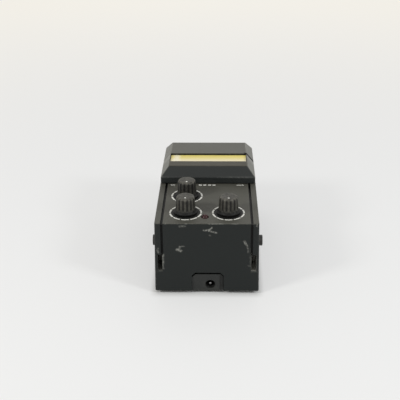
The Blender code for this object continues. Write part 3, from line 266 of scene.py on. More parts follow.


# %% [markdown]
# ## Satin black paint on the cast shell
#
# The shell is zinc alloy under satin black paint that has greyed with handling. On such a surface
# three things show: a fine pebbled skin from the spray, cloudy patches where hands have dulled or
# polished it, and pale chips along the edges. The patches come from slow noise and the skin from
# fine noise in the bump. A pale grey lies where a surface faces up. It is partly fine dust and partly
# painted light from above, and height decides how much of it there is: the control panel gets it
# and is painted lighter than the walls, which do not.
#
# Knocks on the end wall have gone through to the primer. They could be painted on an image, but
# then they would blur close up. Here each one is a line between two places, and the place is
# pushed about by noise first, which tears the line's edges. The two corner pockets are painted
# pale inside, as painted light that lifts their shade, and the right one is paler. Painted shade
# darkens the grooves that run down to them.

# %% Shell paint
WALL_LEAN = 0.8 / 52.0
GROOVE = 30.25 * MM
POCKET_LOW, POCKET_HIGH, POCKET_EDGE = 18.0 * MM, 31.2 * MM, 34.0 * MM
SKIN_DEEP = 0.6 * MM
paint_black = linear(24, 28, 28)
paint_dust_and_light = linear(84, 83, 76)
primer_and_light_grey = linear(150, 150, 144)


def end_wall(x_mm, z_mm):
    """A point on the leaning end wall, from millimetres across and above the floor."""
    z = z_mm * MM
    return (x_mm * MM, REAR + WALL_LEAN * (z - RIM), z)


# Each knock: start and end in millimetres, half its width, and how much metal shows.
KNOCKS = [
    ((-1.8, 49.5), (1.5, 49.9), 0.6, 0.6),
    ((1.2, 49.1), (3.5, 51.5), 0.55, 0.8),
    ((2.9, 48.7), (6.2, 47.8), 0.6, 0.6),
    ((2.1, 45.7), (2.7, 45.4), 0.6, 0.25),
    ((-20.1, 34.8), (-17.6, 33.8), 1.0, 0.6),
    ((-19.2, 35.4), (-18.0, 37.0), 0.7, 0.45),
    ((-16.9, 37.2), (-15.6, 37.4), 0.5, 0.35),
    ((-18.1, 52.5), (-14.7, 52.5), 0.8, 0.32),
    ((25.3, 41.2), (26.8, 38.4), 0.8, 0.65),
    ((27.2, 38.2), (27.7, 32.9), 0.5, 0.3),
    ((29.6, 36.0), (29.8, 23.6), 0.7, 0.13),
    ((30.6, 29.8), (30.8, 18.1), 1.0, 0.12),
    ((28.5, 22.4), (30.4, 22.0), 0.6, 0.14),
    ((31.2, 18.1), (33.9, 18.1), 0.5, 0.18),
    ((-29.8, 31.0), (-30.0, 20.1), 0.75, 0.5),
    ((-33.0, 35.6), (-33.1, 32.5), 0.6, 0.32),
    ((-34.8, 18.0), (-30.4, 18.2), 0.5, 0.12),
    ((1.2, 54.5), (11.2, 54.5), 0.45, 0.42),
    ((17.1, 54.5), (20.4, 54.5), 0.45, 0.3),
    ((33.5, 53.9), (33.5, 52.6), 0.5, 0.35),
]


def painted(finish, planes, dusty):
    """Shared coat of satin paint. It returns the clouds and the worn edges for more work."""
    clouds = finish.noise(22 * MM, 4.0, 0.6)
    specks = finish.noise(1.6 * MM, 3.0, 0.6)
    grit = finish.noise(0.9 * MM, 2.0, 0.7)
    edges = near_edges(finish, planes, 0.8 * MM)
    chips = finish.ramp(specks + 0.35 * clouds, 0.72, 0.82) * edges
    wear_and_highlight = edges * finish.ramp(clouds, 0.45, 0.75)
    # The pale grey laid here is dust. On tops and side bevels it is also painted light, by the amount
    # that dusty gives.
    dust_and_light = dusty * (0.55 + 0.35 * clouds + 0.35 * grit)
    colour = finish.mix(dust_and_light.at_most(1.0), paint_black, paint_dust_and_light)
    colour = finish.mix(wear_and_highlight * 0.12, colour, primer_and_light_grey)
    return clouds, specks, chips, colour


def skin(finish, depth):
    """The fine pebbled surface that sprayed paint dries to."""
    return finish.bump(finish.noise(0.45 * MM, 2.0, 0.5), depth)


shell_half = shell_high.x
panel_half = 35.0 * MM
lean = (panel_half - shell_half) / (PANEL - RIM)
SHELL_PLANES = [
    ((0, 0, 1), (0, 0, PANEL)),
    ((1, 0, -lean), (shell_half, 0, RIM)),
    ((0, -1, WALL_LEAN), (0, REAR, RIM)),
    ((0, 1, WALL_LEAN), (0, FRONT, RIM)),
    ((0, 0, -1), (0, 0, RIM)),
]

shell_paint = Finish("shell_paint_satin")
facing_up = shell_paint.ramp(shell_paint.axis("Z"), PANEL - 0.5 * MM, PANEL - 0.1 * MM)
outside = near_plane(shell_paint, SHELL_PLANES[1], SKIN_DEEP)
for plane in SHELL_PLANES[2:4]:
    outside = outside.at_least(near_plane(shell_paint, plane, SKIN_DEEP))
height = shell_paint.axis("Z")
sideways = abs(shell_paint.axis("X"))
outside = outside.at_least(shell_paint.ramp(sideways, POCKET_EDGE, POCKET_EDGE + 0.4 * MM))
pocketed = (1 - 2.2 * outside).at_least(0.0)
pocketed = pocketed * shell_paint.ramp(height, POCKET_LOW, POCKET_LOW + 0.2 * MM)
pocketed = pocketed * shell_paint.ramp(height, POCKET_HIGH, POCKET_HIGH - 0.3 * MM)
# Painted light: the control panel is painted pale grey, partly as dust and partly as light from above.
# The walls get almost none.
clouds, specks, chips, colour = painted(shell_paint, SHELL_PLANES, 0.03 + 0.78 * facing_up)
# Painted light: the corner pockets are painted pale primer grey to lift their shade, and the right one is
# painted paler than the left.
right_pocket_light = shell_paint.ramp(shell_paint.axis("X"), -1 * MM, 1 * MM)
pocket_painted_light = (pocketed * (0.22 + 0.5 * right_pocket_light + 0.4 * clouds)).at_most(1.0)
colour = shell_paint.mix(pocket_painted_light, colour, primer_and_light_grey)
# Painted shade: the grooves along the panel's sides are painted near-black, except near the front end.
from_groove = abs(sideways - GROOVE)
painted_shade = shell_paint.ramp(from_groove, 1.0 * MM, 0.75 * MM) * shell_paint.ramp(height, 30 * MM, 31 * MM)
painted_shade = painted_shade * shell_paint.ramp(shell_paint.axis("Y"), FRONT - 3 * MM, FRONT - 5 * MM)
colour = shell_paint.mix(painted_shade * 0.85, colour, linear(10, 10, 10))
spot = ragged(shell_paint, 1.5 * MM, 1.0 * MM)
marks = 0.4 * chips
for start, end, width, shown in KNOCKS:
    mark = streak(shell_paint, spot, end_wall(*start), end_wall(*end), width * MM)
    marks = marks.at_least(mark * shown)
torn = shell_paint.noise(0.9 * MM, 3.0, 0.7)
broken = 0.3 + 0.9 * shell_paint.ramp(torn, 0.38, 0.6)
colour = shell_paint.mix((marks * broken).at_most(1.0), colour, primer_and_light_grey)
shell_paint.set(
    base_color=colour,
    roughness=0.42 + 0.16 * clouds + 0.1 * specks,
    specular_ior_level=0.22,
    normal=skin(shell_paint, 0.02 * MM),
)
print("shell paint:", len(shell_paint.tree.nodes), "nodes,", len(KNOCKS), "knocks")

# %% [markdown]
# ## The same paint on the hood and the treadle
#
# Hood and treadle are cast apart from the shell and share one bevelled form. Their planes are
# measured off the imported solids: the flat top falls towards the toe, and bevels run down to an
# upright lip. Shoes have polished this coat, so it is a little smoother. A pale grey on the
# treadle's top is partly dust and partly painted light from above. The side bevels are painted
# pale, partly as scuffs and partly as painted light, and a painted shadow darkens the joint where
# hood and treadle meet on the right-hand bevel.

# %% Hood and treadle paint
hood_low, hood_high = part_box("hood")
treadle_low, treadle_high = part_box("treadle")
SLOPE = math.tan(math.radians(3.25))
LIP_TOP = PANEL + 5.5 * MM
CAP_TOP = PANEL + 12.35 * MM
lip_half = hood_high.x
CAP_PLANES = [
    ((0, SLOPE, 1), (0, hood_low.y, CAP_TOP)),
    ((6.85, 5.7 * SLOPE, 5.7), (lip_half, hood_low.y, LIP_TOP)),
    ((0, -6.85, 6.1), (0, hood_low.y, LIP_TOP)),
    ((0, 6.85, 6.1), (0, treadle_high.y, LIP_TOP - SLOPE * (treadle_high.y - hood_low.y))),
    ((1, 0, 0), (lip_half, 0, 0)),
    ((0, -1, 0), (0, hood_low.y, 0)),
    ((0, 1, 0), (0, treadle_high.y, 0)),
]

cap_paint = Finish("cap_paint_satin")
top_plane, side_plane = CAP_PLANES[:2]
walked = near_plane(cap_paint, top_plane, 0.5 * MM)
scuffs_and_painted_light = near_plane(cap_paint, side_plane, 0.5 * MM)
joint = (hood_high.y + treadle_low.y) / 2
x, y = (cap_paint.axis(name) for name in "XY")
on_treadle = cap_paint.ramp(y, joint - 0.2 * MM, joint + 0.2 * MM)
by_joint = cap_paint.ramp(abs(y - (joint - 5 * MM)), 7 * MM, 2 * MM)
# The pale grey on the treadle's top is partly dust and partly painted light from above. On the side
# bevels it is partly scuffs and partly painted light.
dusty = 0.03 + (0.06 + 0.72 * on_treadle) * walked + 0.4 * scuffs_and_painted_light
clouds, specks, chips, colour = painted(cap_paint, CAP_PLANES, dusty)
# Painted light: the side bevels are painted paler with primer grey, more so near the joint, partly as
# scuffs.
colour = cap_paint.mix(scuffs_and_painted_light * (0.22 + 0.3 * clouds + 0.22 * by_joint), colour, primer_and_light_grey)
colour = cap_paint.mix(walked * (1 - on_treadle) * 0.75, colour, linear(44, 38, 16))
colour = cap_paint.mix(chips * 0.12, colour, primer_and_light_grey)
# Painted shadow: a near-black band along the joint of hood and treadle on the right-hand bevel, which is
# also made rougher.
painted_shade = cap_paint.ramp(abs(y - joint), 2.4 * MM, 1.5 * MM) * cap_paint.ramp(x, 26.5 * MM, 28 * MM)
colour = cap_paint.mix(painted_shade, colour, linear(8, 8, 8))
cap_paint.set(
    base_color=colour,
    roughness=(0.38 + 0.16 * clouds + 0.08 * specks + 0.4 * painted_shade).at_most(0.9),
    specular_ior_level=0.36,
    normal=skin(cap_paint, 0.016 * MM),
)
print("cap paint:", len(cap_paint.tree.nodes), "nodes")

# %% [markdown]
# ## Moulded plastics, rubber and metals
#
# The rest of the finishes are short. Moulded plastic has a fine spark-eroded grain and collects
# pale dust; rubber is duller, with soft blotches; plated steel has faint drawn lines and varies in
# how sharply it reflects. Each one varies its roughness, because a surface that reflects evenly
# all over looks like computer plastic.

# %% Plastic, rubber and metal
def plastic(name, dark, dusty, roughness, grain_mm, depth_mm):
    finish = Finish(name)
    clouds = finish.noise(6 * MM, 4.0, 0.6)
    grain = finish.noise(grain_mm * MM, 2.0, 0.6)
    finish.set(
        base_color=finish.mix(finish.ramp(clouds + 0.3 * grain, 0.45, 0.95), dark, dusty),
        roughness=roughness + 0.15 * clouds,
        specular_ior_level=0.4,
        normal=finish.bump(grain, depth_mm * MM),
    )
    return finish


def metal(name, colour, stained, roughness, stretch):
    finish = Finish(name)
    clouds = finish.noise(5 * MM, 3.0, 0.6)
    lines = finish.noise(0.35 * MM, 2.0, 0.6, stretch)
    finish.set(
        base_color=finish.mix(finish.ramp(clouds, 0.4, 0.8), colour, stained),
        metallic=1.0,
        roughness=roughness + 0.15 * lines + 0.1 * clouds,
        normal=finish.bump(lines, 0.004 * MM),
    )
    return finish


black_plastic = plastic("black_moulded_plastic", linear(30, 30, 29), linear(58, 57, 53), 0.42, 0.5, 0.012)
socket_plastic = plastic("power_socket_plastic", linear(29, 31, 30), linear(42, 43, 41), 0.5, 0.4, 0.02)
# Painted shade: the power socket's block is a near-black plastic, far darker than the other black
# plastic, standing in for the shade inside the socket's hole.
socket_painted_shade = plastic("power_socket_painted_shade", linear(4, 4, 4), linear(8, 8, 8), 0.7, 0.4, 0.02)
foot_rubber = plastic("foot_rubber", linear(34, 34, 33), linear(70, 68, 62), 0.72, 0.7, 0.03)
plated = metal("plated_steel_drawn", linear(200, 198, 192), linear(150, 146, 136), 0.2, (1, 1, 0.1))
dull = metal("dull_zinc_plate", linear(150, 150, 146), linear(112, 110, 102), 0.38, (1, 0.06, 1))
tarnished = metal("tarnished_pin", linear(122, 122, 122), linear(84, 84, 84), 0.35, (1, 0.1, 1))
print("plastics and metals ready")

# %% [markdown]
# ## Small inner finishes
#
# Inside the shell sit a circuit board, a battery and the works. They are out of sight until
# someone takes the model apart, yet each has its own surface: a board shows woven glass under green
# lacquer and a grid of pads, and a battery wears a plain sleeve with a band of another shade.

# %% Board and battery sleeve
board = Finish("board_green_lacquer")
x, y, z = (board.axis(name) for name in "XYZ")
pitch = 2.54 * MM
across = abs(board.add("ShaderNodeMath", {"operation": "PINGPONG"}, {0: x, 1: pitch / 2}) - pitch / 4)
along = abs(board.add("ShaderNodeMath", {"operation": "PINGPONG"}, {0: y, 1: pitch / 2}) - pitch / 4)
pads = board.ramp(across.at_least(along), 0.18 * pitch, 0.24 * pitch)
tracks = board.ramp(board.noise(5 * MM, 0.0, 0.0, (1, 0.15, 1)), 0.48, 0.52)
green = board.mix(tracks * 0.6, linear(24, 74, 42), linear(52, 112, 62))
tinned = pads * board.ramp(board.noise(9 * MM), 0.5, 0.55)
board.set(
    base_color=board.mix(tinned, green, linear(190, 186, 170)),
    roughness=0.3 + 0.2 * board.noise(1 * MM),
    normal=board.bump(tracks + 0.3 * pads, 0.03 * MM),
)

sleeve = Finish("battery_sleeve_plain")
low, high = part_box("battery")
band = sleeve.ramp(sleeve.axis("X"), low.x + 0.3 * (high.x - low.x), low.x + 0.31 * (high.x - low.x))
scuffs = sleeve.noise(2 * MM, 4.0, 0.6, (1, 0.3, 1))
dark_sleeve = sleeve.mix(scuffs * 0.4, linear(34, 36, 42), linear(80, 80, 84))
sleeve.set(
    base_color=sleeve.mix(band, linear(168, 120, 58), dark_sleeve),
    roughness=0.28 + 0.2 * scuffs,
    normal=sleeve.bump(scuffs, 0.01 * MM),
)
print("board pads every", pitch / MM, "mm")

# %% [markdown]
# ## Mesh helpers
#
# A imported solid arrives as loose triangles. To round its edges, a copy is welded, its flat areas
# are merged back into single faces, and only its sharp edges are bevelled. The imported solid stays
# untouched. A bevel of a few tenths of a millimetre is enough: it is what gives each edge its thin
# line of light. Smooth shading would bend the light across a whole wall to meet such a narrow
# bevel, so a face larger than 40 square millimetres is shaded flat, and only the small ones smooth.

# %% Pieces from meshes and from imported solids
LARGEST_ROUNDED = 40 * MM**2


def piece(name, bm, finish, body, smooth_angle=40):
    """Make an object of a mesh, give it a finish and a body to ride on."""
    mesh = bpy.data.meshes.new(name)
    bm.to_mesh(mesh)
    bm.free()
    mesh.materials.append(finish.material)
    mesh.shade_smooth()
    mesh.set_sharp_from_angle(angle=math.radians(smooth_angle))
    for face in mesh.polygons:
        face.use_smooth = face.area < LARGEST_ROUNDED
    made = bpy.data.objects.new(name, mesh)
    bpy.context.scene.collection.objects.link(made)
    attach(made, body)
    return made


def welded_copy(node):
    """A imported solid's mesh with its points joined and its flat areas made single faces."""
    bm = bmesh.new()
    bm.from_mesh(frame["nodes"][node].data)
    bmesh.ops.remove_doubles(bm, verts=bm.verts, dist=0.002 * MM)
    bmesh.ops.dissolve_limit(
        bm, angle_limit=math.radians(0.5), verts=bm.verts, edges=bm.edges, use_dissolve_boundaries=False
    )
    return bm


def softened(node, width_mm, sharper_than=50, segments=2, bm=None):
    """A welded copy whose sharp edges are rounded by a bevel. The copy may come ready made."""
    bm = bm or welded_copy(node)
    sharp = [
        edge for edge in bm.edges
        if edge.is_manifold and edge.calc_face_angle() > math.radians(sharper_than)
    ]
    bmesh.ops.bevel(
        bm, geom=sharp, offset=width_mm * MM, segments=segments, profile=0.5,
        affect="EDGES", material=-1, clamp_overlap=True,
    )
    print(node, "copy:", len(sharp), "edges rounded,", len(bm.faces), "faces")
    return bm


def spun(profile, segments=64, centre=(0, 0, 0)):
    """A profile of (radius, height) pairs in metres, turned once round an upright axis."""
    bm = bmesh.new()
    verts = [bm.verts.new((radius, 0, height)) for radius, height in profile]
    edges = [bm.edges.new(pair) for pair in zip(verts, verts[1:])]
    if min(radius for radius, _ in profile) > 0:
        edges.append(bm.edges.new((verts[-1], verts[0])))
    bmesh.ops.spin(
        bm, geom=verts + edges, axis=(0, 0, 1), cent=(0, 0, 0),
        angle=math.tau, steps=segments, use_merge=True,
    )
    bmesh.ops.remove_doubles(bm, verts=bm.verts, dist=0.001 * MM)
    bmesh.ops.recalc_face_normals(bm, faces=bm.faces)
    bmesh.ops.translate(bm, vec=centre, verts=bm.verts)
    return bm


def rounding(centre, radius, start, end, steps=5):
    """Points (radius, height) along a quarter or part of a circle, for a profile."""
    turns = [math.radians(start + (end - start) * step / steps) for step in range(steps + 1)]
    return [(centre[0] + radius * math.cos(a), centre[1] + radius * math.sin(a)) for a in turns]


# %% [markdown]
# ## Shell, hood and treadle
#
# These three castings make nearly all of the object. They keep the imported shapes, softened, and
# ride on their own bodies: the shell stands still with the hood on it, and the treadle rocks. The
# treadle's edge next to the hood is broken by a wider flat on both side bevels, which opens the
# joint there into a small dark notch. The flat comes first, so that the rounding leaves it alone.

# %% The three castings
shell = piece("shell_casting", softened("housing", 0.25), shell_paint, "shell")
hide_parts("housing")
hood = piece("hood_casting", softened("hood", 0.25), cap_paint, "shell")
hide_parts("hood")
TOP_HALF, LIP_FOOT, NOTCH = 28.8 * MM, treadle_low.z + 3.5 * MM, 1.3 * MM


def at_joint(vert):
    """Whether a point is on the treadle's end by the hood, on one of the side bevels."""
    at_end = vert.co.y < treadle_low.y + 0.01 * MM
    return at_end and abs(vert.co.x) > TOP_HALF and vert.co.z > LIP_FOOT


bm = welded_copy("treadle")
broken_edges = [edge for edge in bm.edges if all(at_joint(vert) for vert in edge.verts)]
bmesh.ops.bevel(
    bm, geom=broken_edges, offset=NOTCH, segments=1, profile=0.5,
    affect="EDGES", material=-1, clamp_overlap=True,
)
treadle = piece("treadle_casting", softened("treadle", 0.25, bm=bm), cap_paint, "treadle")
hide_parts("treadle")
print(len(broken_edges), "edges broken at the joint")

# %% [markdown]
# ## The yellow strip
#
# A thin printed strip is let into the hood. It is glossy and a little streaked from wiping. Its
# print is painted paler, nearly white, along its near side as a painted reflection, and in one
# spot at its left end as a painted highlight. It keeps its imported shape; its look is all in the finish.

# %% Yellow strip
strip_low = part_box("yellow_strip")[0]
strip_print = Finish("yellow_strip_print")
wiped = strip_print.noise(3 * MM, 3.0, 0.6, (0.15, 1, 1))
x, y = (strip_print.axis(name) for name in "XY")
# Painted reflection: the strip is painted nearly white along its near side.
near_edge_reflection = strip_print.ramp(y + 2 * MM * wiped, strip_low.y + 13 * MM, strip_low.y + 3 * MM)
# Painted highlight: one spot near the strip's left end is painted nearly white.
patch_x = abs(x - strip_low.x - 4.5 * MM)
wear_and_highlight = strip_print.ramp(patch_x + 3 * MM * strip_print.noise(4 * MM, 3.0), 5.5 * MM, 2 * MM)
yellow = strip_print.mix(wiped, linear(206, 188, 92), linear(224, 208, 116))
yellow = strip_print.mix(near_edge_reflection * 0.85, yellow, linear(232, 222, 192))
strip_print.set(
    base_color=strip_print.mix(wear_and_highlight * 0.6, yellow, linear(234, 231, 216)),
    roughness=0.24 + 0.2 * wiped,
    normal=strip_print.bump(wiped, 0.01 * MM),
)
strip = piece("yellow_strip_inlay", softened("yellow_strip", 0.08), strip_print, "shell")
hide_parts("yellow_strip")

# %% [markdown]
# ## Knobs
#
# Each knob is black plastic with a bell-shaped skirt and fourteen shallow scoops for the fingers. A
# Boolean could cut the scoops, but it would leave long thin faces that shade badly. Instead the
# knob is spun from its profile with eight columns to a scoop, and each column's wall is then drawn
# in towards the axis, as far as a round scoop would reach there. The scoops die away into the bell,
# as they do on a moulded knob. How near each point is to a ridge is stored as an attribute of the
# mesh, because fingers wear the ridges pale and leave the scoops dark.

# %% Knob shape
knob_low, knob_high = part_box("knob_left_rear")
SKIRT = (knob_high.x - knob_low.x) / 2
KNOB_BASE, KNOB_TOP = knob_low.z, knob_high.z
BODY, CROWN, ROUND = 6.8 * MM, 6.4 * MM, 1.9 * MM
SKIRT_TOP = KNOB_BASE + 3.6 * MM
SCOOPS, SCOOP_DEPTH, SCOOP_SHARE = 14, 0.6 * MM, 0.62
SCOOP_FADE = 1.6 * MM
COLUMNS = 8


def scoop_wall(turn):
    """How far out the wall stands at this angle, where a scoop has been taken."""
    half = SCOOP_SHARE * math.pi / SCOOPS
    floor = BODY - SCOOP_DEPTH
    ridge_x, ridge_y = BODY * math.cos(half), BODY * math.sin(half)
    radius = (ridge_y**2 + (ridge_x - floor) ** 2) / (2 * (ridge_x - floor))
    distance = floor + radius
    step = math.tau / SCOOPS
    off = (turn + math.pi / 2) % step - step / 2
    side = distance * math.sin(off)
    if abs(side) >= radius:
        return BODY
    return min(BODY, distance * math.cos(off) - math.sqrt(radius**2 - side**2))


def knob_shape(place, handled):
    """A whole knob over its place on the panel. A knob that is handled more has paler ridges."""
    crown_edge = rounding((CROWN - ROUND, KNOB_TOP - ROUND), ROUND, 90, 0, 9)
    wall_top = KNOB_TOP - ROUND
    wall = [
        (CROWN + (BODY - CROWN) * share, wall_top - (wall_top - SKIRT_TOP) * share)
        for share in (0.33, 0.66, 0.97)
    ]
    flare, drop = SKIRT - BODY, SKIRT_TOP - KNOB_BASE - 0.8 * MM
    bell = [
        (SKIRT - flare * across, SKIRT_TOP - drop * down)
        for across, down in rounding((0, 0), 1, 0, 90, 8)
    ]
    rim = [(SKIRT, KNOB_BASE + 0.15 * MM), (SKIRT - 0.15 * MM, KNOB_BASE)]
    inside = [(5.5 * MM, KNOB_BASE), (5.5 * MM, KNOB_BASE + 2.7 * MM), (0, KNOB_BASE + 2.7 * MM)]
    profile = [(0, KNOB_TOP), (3 * MM, KNOB_TOP)] + crown_edge + wall + bell + rim + inside
    bm = spun(profile, SCOOPS * COLUMNS)
    ridge = bm.verts.layers.float.new("ridge")
    for vert in bm.verts:
        reach = math.hypot(vert.co.x, vert.co.y)
        risen = min(max((vert.co.z - SKIRT_TOP) / SCOOP_FADE + 1, 0), 1)
        if risen == 0 or reach < CROWN - ROUND + 0.01 * MM:
            continue
        deep = (BODY - scoop_wall(math.atan2(vert.co.y, vert.co.x))) * risen**2 * (3 - 2 * risen)
        vert[ridge] = (1 - deep / SCOOP_DEPTH) * risen * handled
        limit = max(reach, BODY) - deep - 0.5 * max(BODY - reach, 0)
        if reach > limit:
            vert.co.x *= limit / reach
            vert.co.y *= limit / reach
    bmesh.ops.recalc_face_normals(bm, faces=bm.faces)
    bmesh.ops.translate(bm, vec=(place.x, place.y, 0), verts=bm.verts)
    return bm


# %% [markdown]
# The knob's plastic has faded to a warm grey-black. Its colour reads the ridge attribute, so that
# the wear follows the scoops. The crown is paler, partly from blotchy wear and partly as painted
# light from above, and a painted highlight runs round its edge. The skirt is painted darker
# towards its foot as painted shade. A white dot near the crown's edge shows which way the knob
# points.

# %% Knob finish, and the three knobs
knob_plastic = Finish("knob_faded_plastic")
ridge = knob_plastic.add("ShaderNodeAttribute", {"attribute_name": "ridge"}, {}, "Fac")
height = knob_plastic.axis("Z")
crown = knob_plastic.ramp(height, KNOB_TOP - 1.6 * MM, KNOB_TOP - 0.1 * MM)
rim = crown * knob_plastic.ramp(height, KNOB_TOP - 0.02 * MM, KNOB_TOP - 0.12 * MM)
clouds = knob_plastic.noise(3 * MM, 4.0, 0.6)
grain = knob_plastic.noise(0.4 * MM, 2.0, 0.6)
rubbing = knob_plastic.ramp(clouds + 0.3 * grain, 0.3, 0.8)
blotches = knob_plastic.ramp(knob_plastic.noise(2 * MM, 3.0, 0.7), 0.38, 0.6)
wear_and_highlights = 0.6 * ridge * (1 - 0.4 * crown) * (0.35 + 0.65 * rubbing)
# The crown is painted paler, partly as blotchy wear and partly as painted light from above, and a painted
# highlight runs round its edge.
wear_and_highlights = wear_and_highlights + crown * (0.24 + 0.3 * blotches) + 0.2 * rim * blotches
faded = knob_plastic.ramp(clouds, 0.3, 0.8) * 0.6
colour = knob_plastic.mix(faded, linear(18, 18, 17), linear(36, 35, 32))
# Painted shade: the skirt is painted darker towards its foot.
colour = knob_plastic.mix(knob_plastic.ramp(height, SKIRT_TOP, KNOB_BASE), colour, linear(10, 10, 10))
knob_plastic.set(
    base_color=knob_plastic.mix(wear_and_highlights.at_most(1.0), colour, linear(94, 92, 85)),
    roughness=0.4 + 0.2 * clouds,
    specular_ior_level=0.2,
    normal=knob_plastic.bump(grain, 0.012 * MM),
)
ink_white = Finish("white_ink")
thin = ink_white.noise(0.8 * MM, 3.0, 0.6)
wear_and_highlight = ink_white.ramp(thin, 0.55, 0.8) * 0.5
ink_white.set(
    base_color=ink_white.mix(wear_and_highlight, linear(212, 212, 206), linear(112, 110, 102)),
    roughness=0.5 + 0.2 * thin,
    normal=ink_white.bump(thin, 0.01 * MM),
)

HANDLED = {"left_rear": 1.0, "right_rear": 0.9, "left_front": 0.45}
DOT_HALF, DOT_OUT, DOT_LOW = 0.65 * MM, 3.0 * MM, KNOB_TOP - 0.1 * MM
for label in KNOBS:
    place = centre_of(f"knob_{label}")
    body = f"control_{label}"
    bm = knob_shape(place, HANDLED[label])
    knob = piece(f"knob_{label}_cap", bm, knob_plastic, body, 50)
    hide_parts(f"knob_{label}")
    profile = [(0, DOT_LOW), (DOT_HALF, DOT_LOW)]
    profile += [(DOT_HALF, KNOB_TOP + 0.02 * MM), (0, KNOB_TOP + 0.03 * MM)]
    dot = spun(profile, 24, (place.x, place.y - DOT_OUT, 0))
    piece(f"knob_{label}_dot", dot, ink_white, body)
    print("knob", label, "at", [round(v / MM, 1) for v in place[:2]])

# %% [markdown]
# ## Printed scales
#
# Round each knob the panel carries a thin black disc and a printed ring of nine white dashes, open
# towards the hood. Print has almost no thickness, but a flat sheet lying exactly in the panel's
# face would flicker, so each print, and the disc too, is a solid a few hundredths of a millimetre
# thick, sunk a little into the paint. One dash is a short line of ink spun through its angle; spin
# then repeats it round the ring.

# %% Scales
INK_LOW, INK_HIGH = PANEL - 0.02 * MM, PANEL + 0.05 * MM
RING_OUT, RING_IN = 11.2 * MM, 10.1 * MM
DISC_OUT, DISC_IN, DISC_TOP = 9.9 * MM, 4 * MM, INK_HIGH - 0.02 * MM
DASHES, PITCH, DASH = 9, math.radians(300 / 9), math.radians(28.6)

disc_black = Finish("black_disc")
thin = disc_black.noise(1.2 * MM, 3.0, 0.6)
disc_black.set(
    base_color=disc_black.mix(thin * 0.5, linear(14, 14, 14), linear(30, 30, 28)),
    roughness=0.55 + 0.2 * thin,
    specular_ior_level=0.3,
    normal=disc_black.bump(thin, 0.01 * MM),
)


def raised(bm):
    """Give flat ink its thickness."""
    made = bmesh.ops.extrude_face_region(bm, geom=bm.faces[:])
    top = [item for item in made["geom"] if isinstance(item, bmesh.types.BMVert)]
    bmesh.ops.translate(bm, vec=(0, 0, INK_HIGH - INK_LOW), verts=top)
    bmesh.ops.recalc_face_normals(bm, faces=bm.faces)
    return bm


def dashes(place):
    bm = bmesh.new()
    line = [bm.verts.new((radius, 0, INK_LOW)) for radius in (RING_IN, RING_OUT)]
    first = -math.pi / 2 - 4 * PITCH - DASH / 2
    bmesh.ops.rotate(bm, cent=(0, 0, 0), matrix=Matrix.Rotation(first, 3, "Z"), verts=line)
    edge = bm.edges.new(line)
    bmesh.ops.spin(bm, geom=line + [edge], axis=(0, 0, 1), cent=(0, 0, 0), angle=DASH, steps=10)
    bmesh.ops.remove_doubles(bm, verts=bm.verts, dist=0.001 * MM)
    whole = bm.verts[:] + bm.edges[:] + bm.faces[:]
    bmesh.ops.spin(
        bm, geom=whole, axis=(0, 0, 1), cent=(0, 0, 0),
        angle=PITCH * (DASHES - 1), steps=DASHES - 1, use_duplicate=True,
    )
    bmesh.ops.translate(bm, vec=(place.x, place.y, 0), verts=bm.verts)
    return raised(bm)


for label in KNOBS:
    place = centre_of(f"knob_{label}")
    piece(f"scale_{label}", dashes(place), ink_white, "shell")
    profile = [(DISC_IN, INK_LOW), (DISC_OUT, INK_LOW), (DISC_OUT, DISC_TOP), (DISC_IN, DISC_TOP)]
    disc = spun(profile, 96, (place.x, place.y, 0))
    piece(f"scale_disc_{label}", disc, disc_black, "shell")
print("dashes of", round(math.degrees(DASH), 1), "degrees")

# %% [markdown]
# ## Generic marks on the panel
#
# Beside the hood the real panel has small white print. Here it carries plain marks and no words:
# an arrow towards each jack, and a row of four blocks between them. Each mark starts as a grid
# face that is scaled to size.

# %% Marks
def block_face(bm, x, y, width, depth):
    made = bmesh.ops.create_grid(bm, x_segments=1, y_segments=1, size=0.5)
    bmesh.ops.scale(bm, vec=(width, depth, 1), verts=made["verts"])
    bmesh.ops.translate(bm, vec=(x, y, INK_LOW), verts=made["verts"])


def arrow_face(bm, x, y, side):
    made = bmesh.ops.create_circle(bm, cap_ends=True, segments=3, radius=1.25 * MM)
    turn = Matrix.Rotation(0 if side > 0 else math.pi, 3, "Z")
    bmesh.ops.rotate(bm, cent=(0, 0, 0), matrix=turn, verts=made["verts"])
    bmesh.ops.translate(bm, vec=(x, y, INK_LOW), verts=made["verts"])


marks_y = hood_low.y - 1.8 * MM
bm = bmesh.new()
for x in (-5.6, -2.3, 1.2, 4.4):
    block_face(bm, x * MM, marks_y, 2.3 * MM, 1.6 * MM)
for side, x, length in ((-1, -25.2, 2.2), (1, 23.2, 4.2)):
    block_face(bm, x * MM, marks_y, length * MM, 0.8 * MM)
    arrow_face(bm, x * MM + side * length * MM / 2, marks_y, side)
piece("panel_marks", raised(bm), ink_white, "shell")

# %% [markdown]
# ## Lamp
#
# The lamp is a red plastic dome in a small collar. It is off, so it is dark red with one bright
# reflection. It is spun as a dome on a short barrel, and its plastic lets some light through.

# %% Lamp lens
lens_low, lens_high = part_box("led_lens")
lens_radius = (lens_high.x - lens_low.x) / 2
dome = rounding((0, lens_high.z - lens_radius), lens_radius, 0, 90, 10)
profile = [(0, lens_low.z), (lens_radius - 0.1 * MM, lens_low.z), (lens_radius, lens_low.z + 0.1 * MM)]
profile += dome[:-1] + [(0, lens_high.z)]
middle = centre_of("led_lens")
red_lens = Finish("red_lens_plastic")
haze = red_lens.noise(1.5 * MM, 2.0)
red_lens.set(
    base_color=red_lens.mix(haze * 0.4, linear(46, 12, 15), linear(66, 28, 30)),
    roughness=0.2 + 0.2 * haze,
    transmission_weight=0.2,
    specular_ior_level=0.3,
    normal=red_lens.bump(haze, 0.01 * MM),
)
lens = piece("lamp_lens", spun(profile, 48, (middle.x, middle.y, 0)), red_lens, "shell", 60)
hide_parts("led_lens")

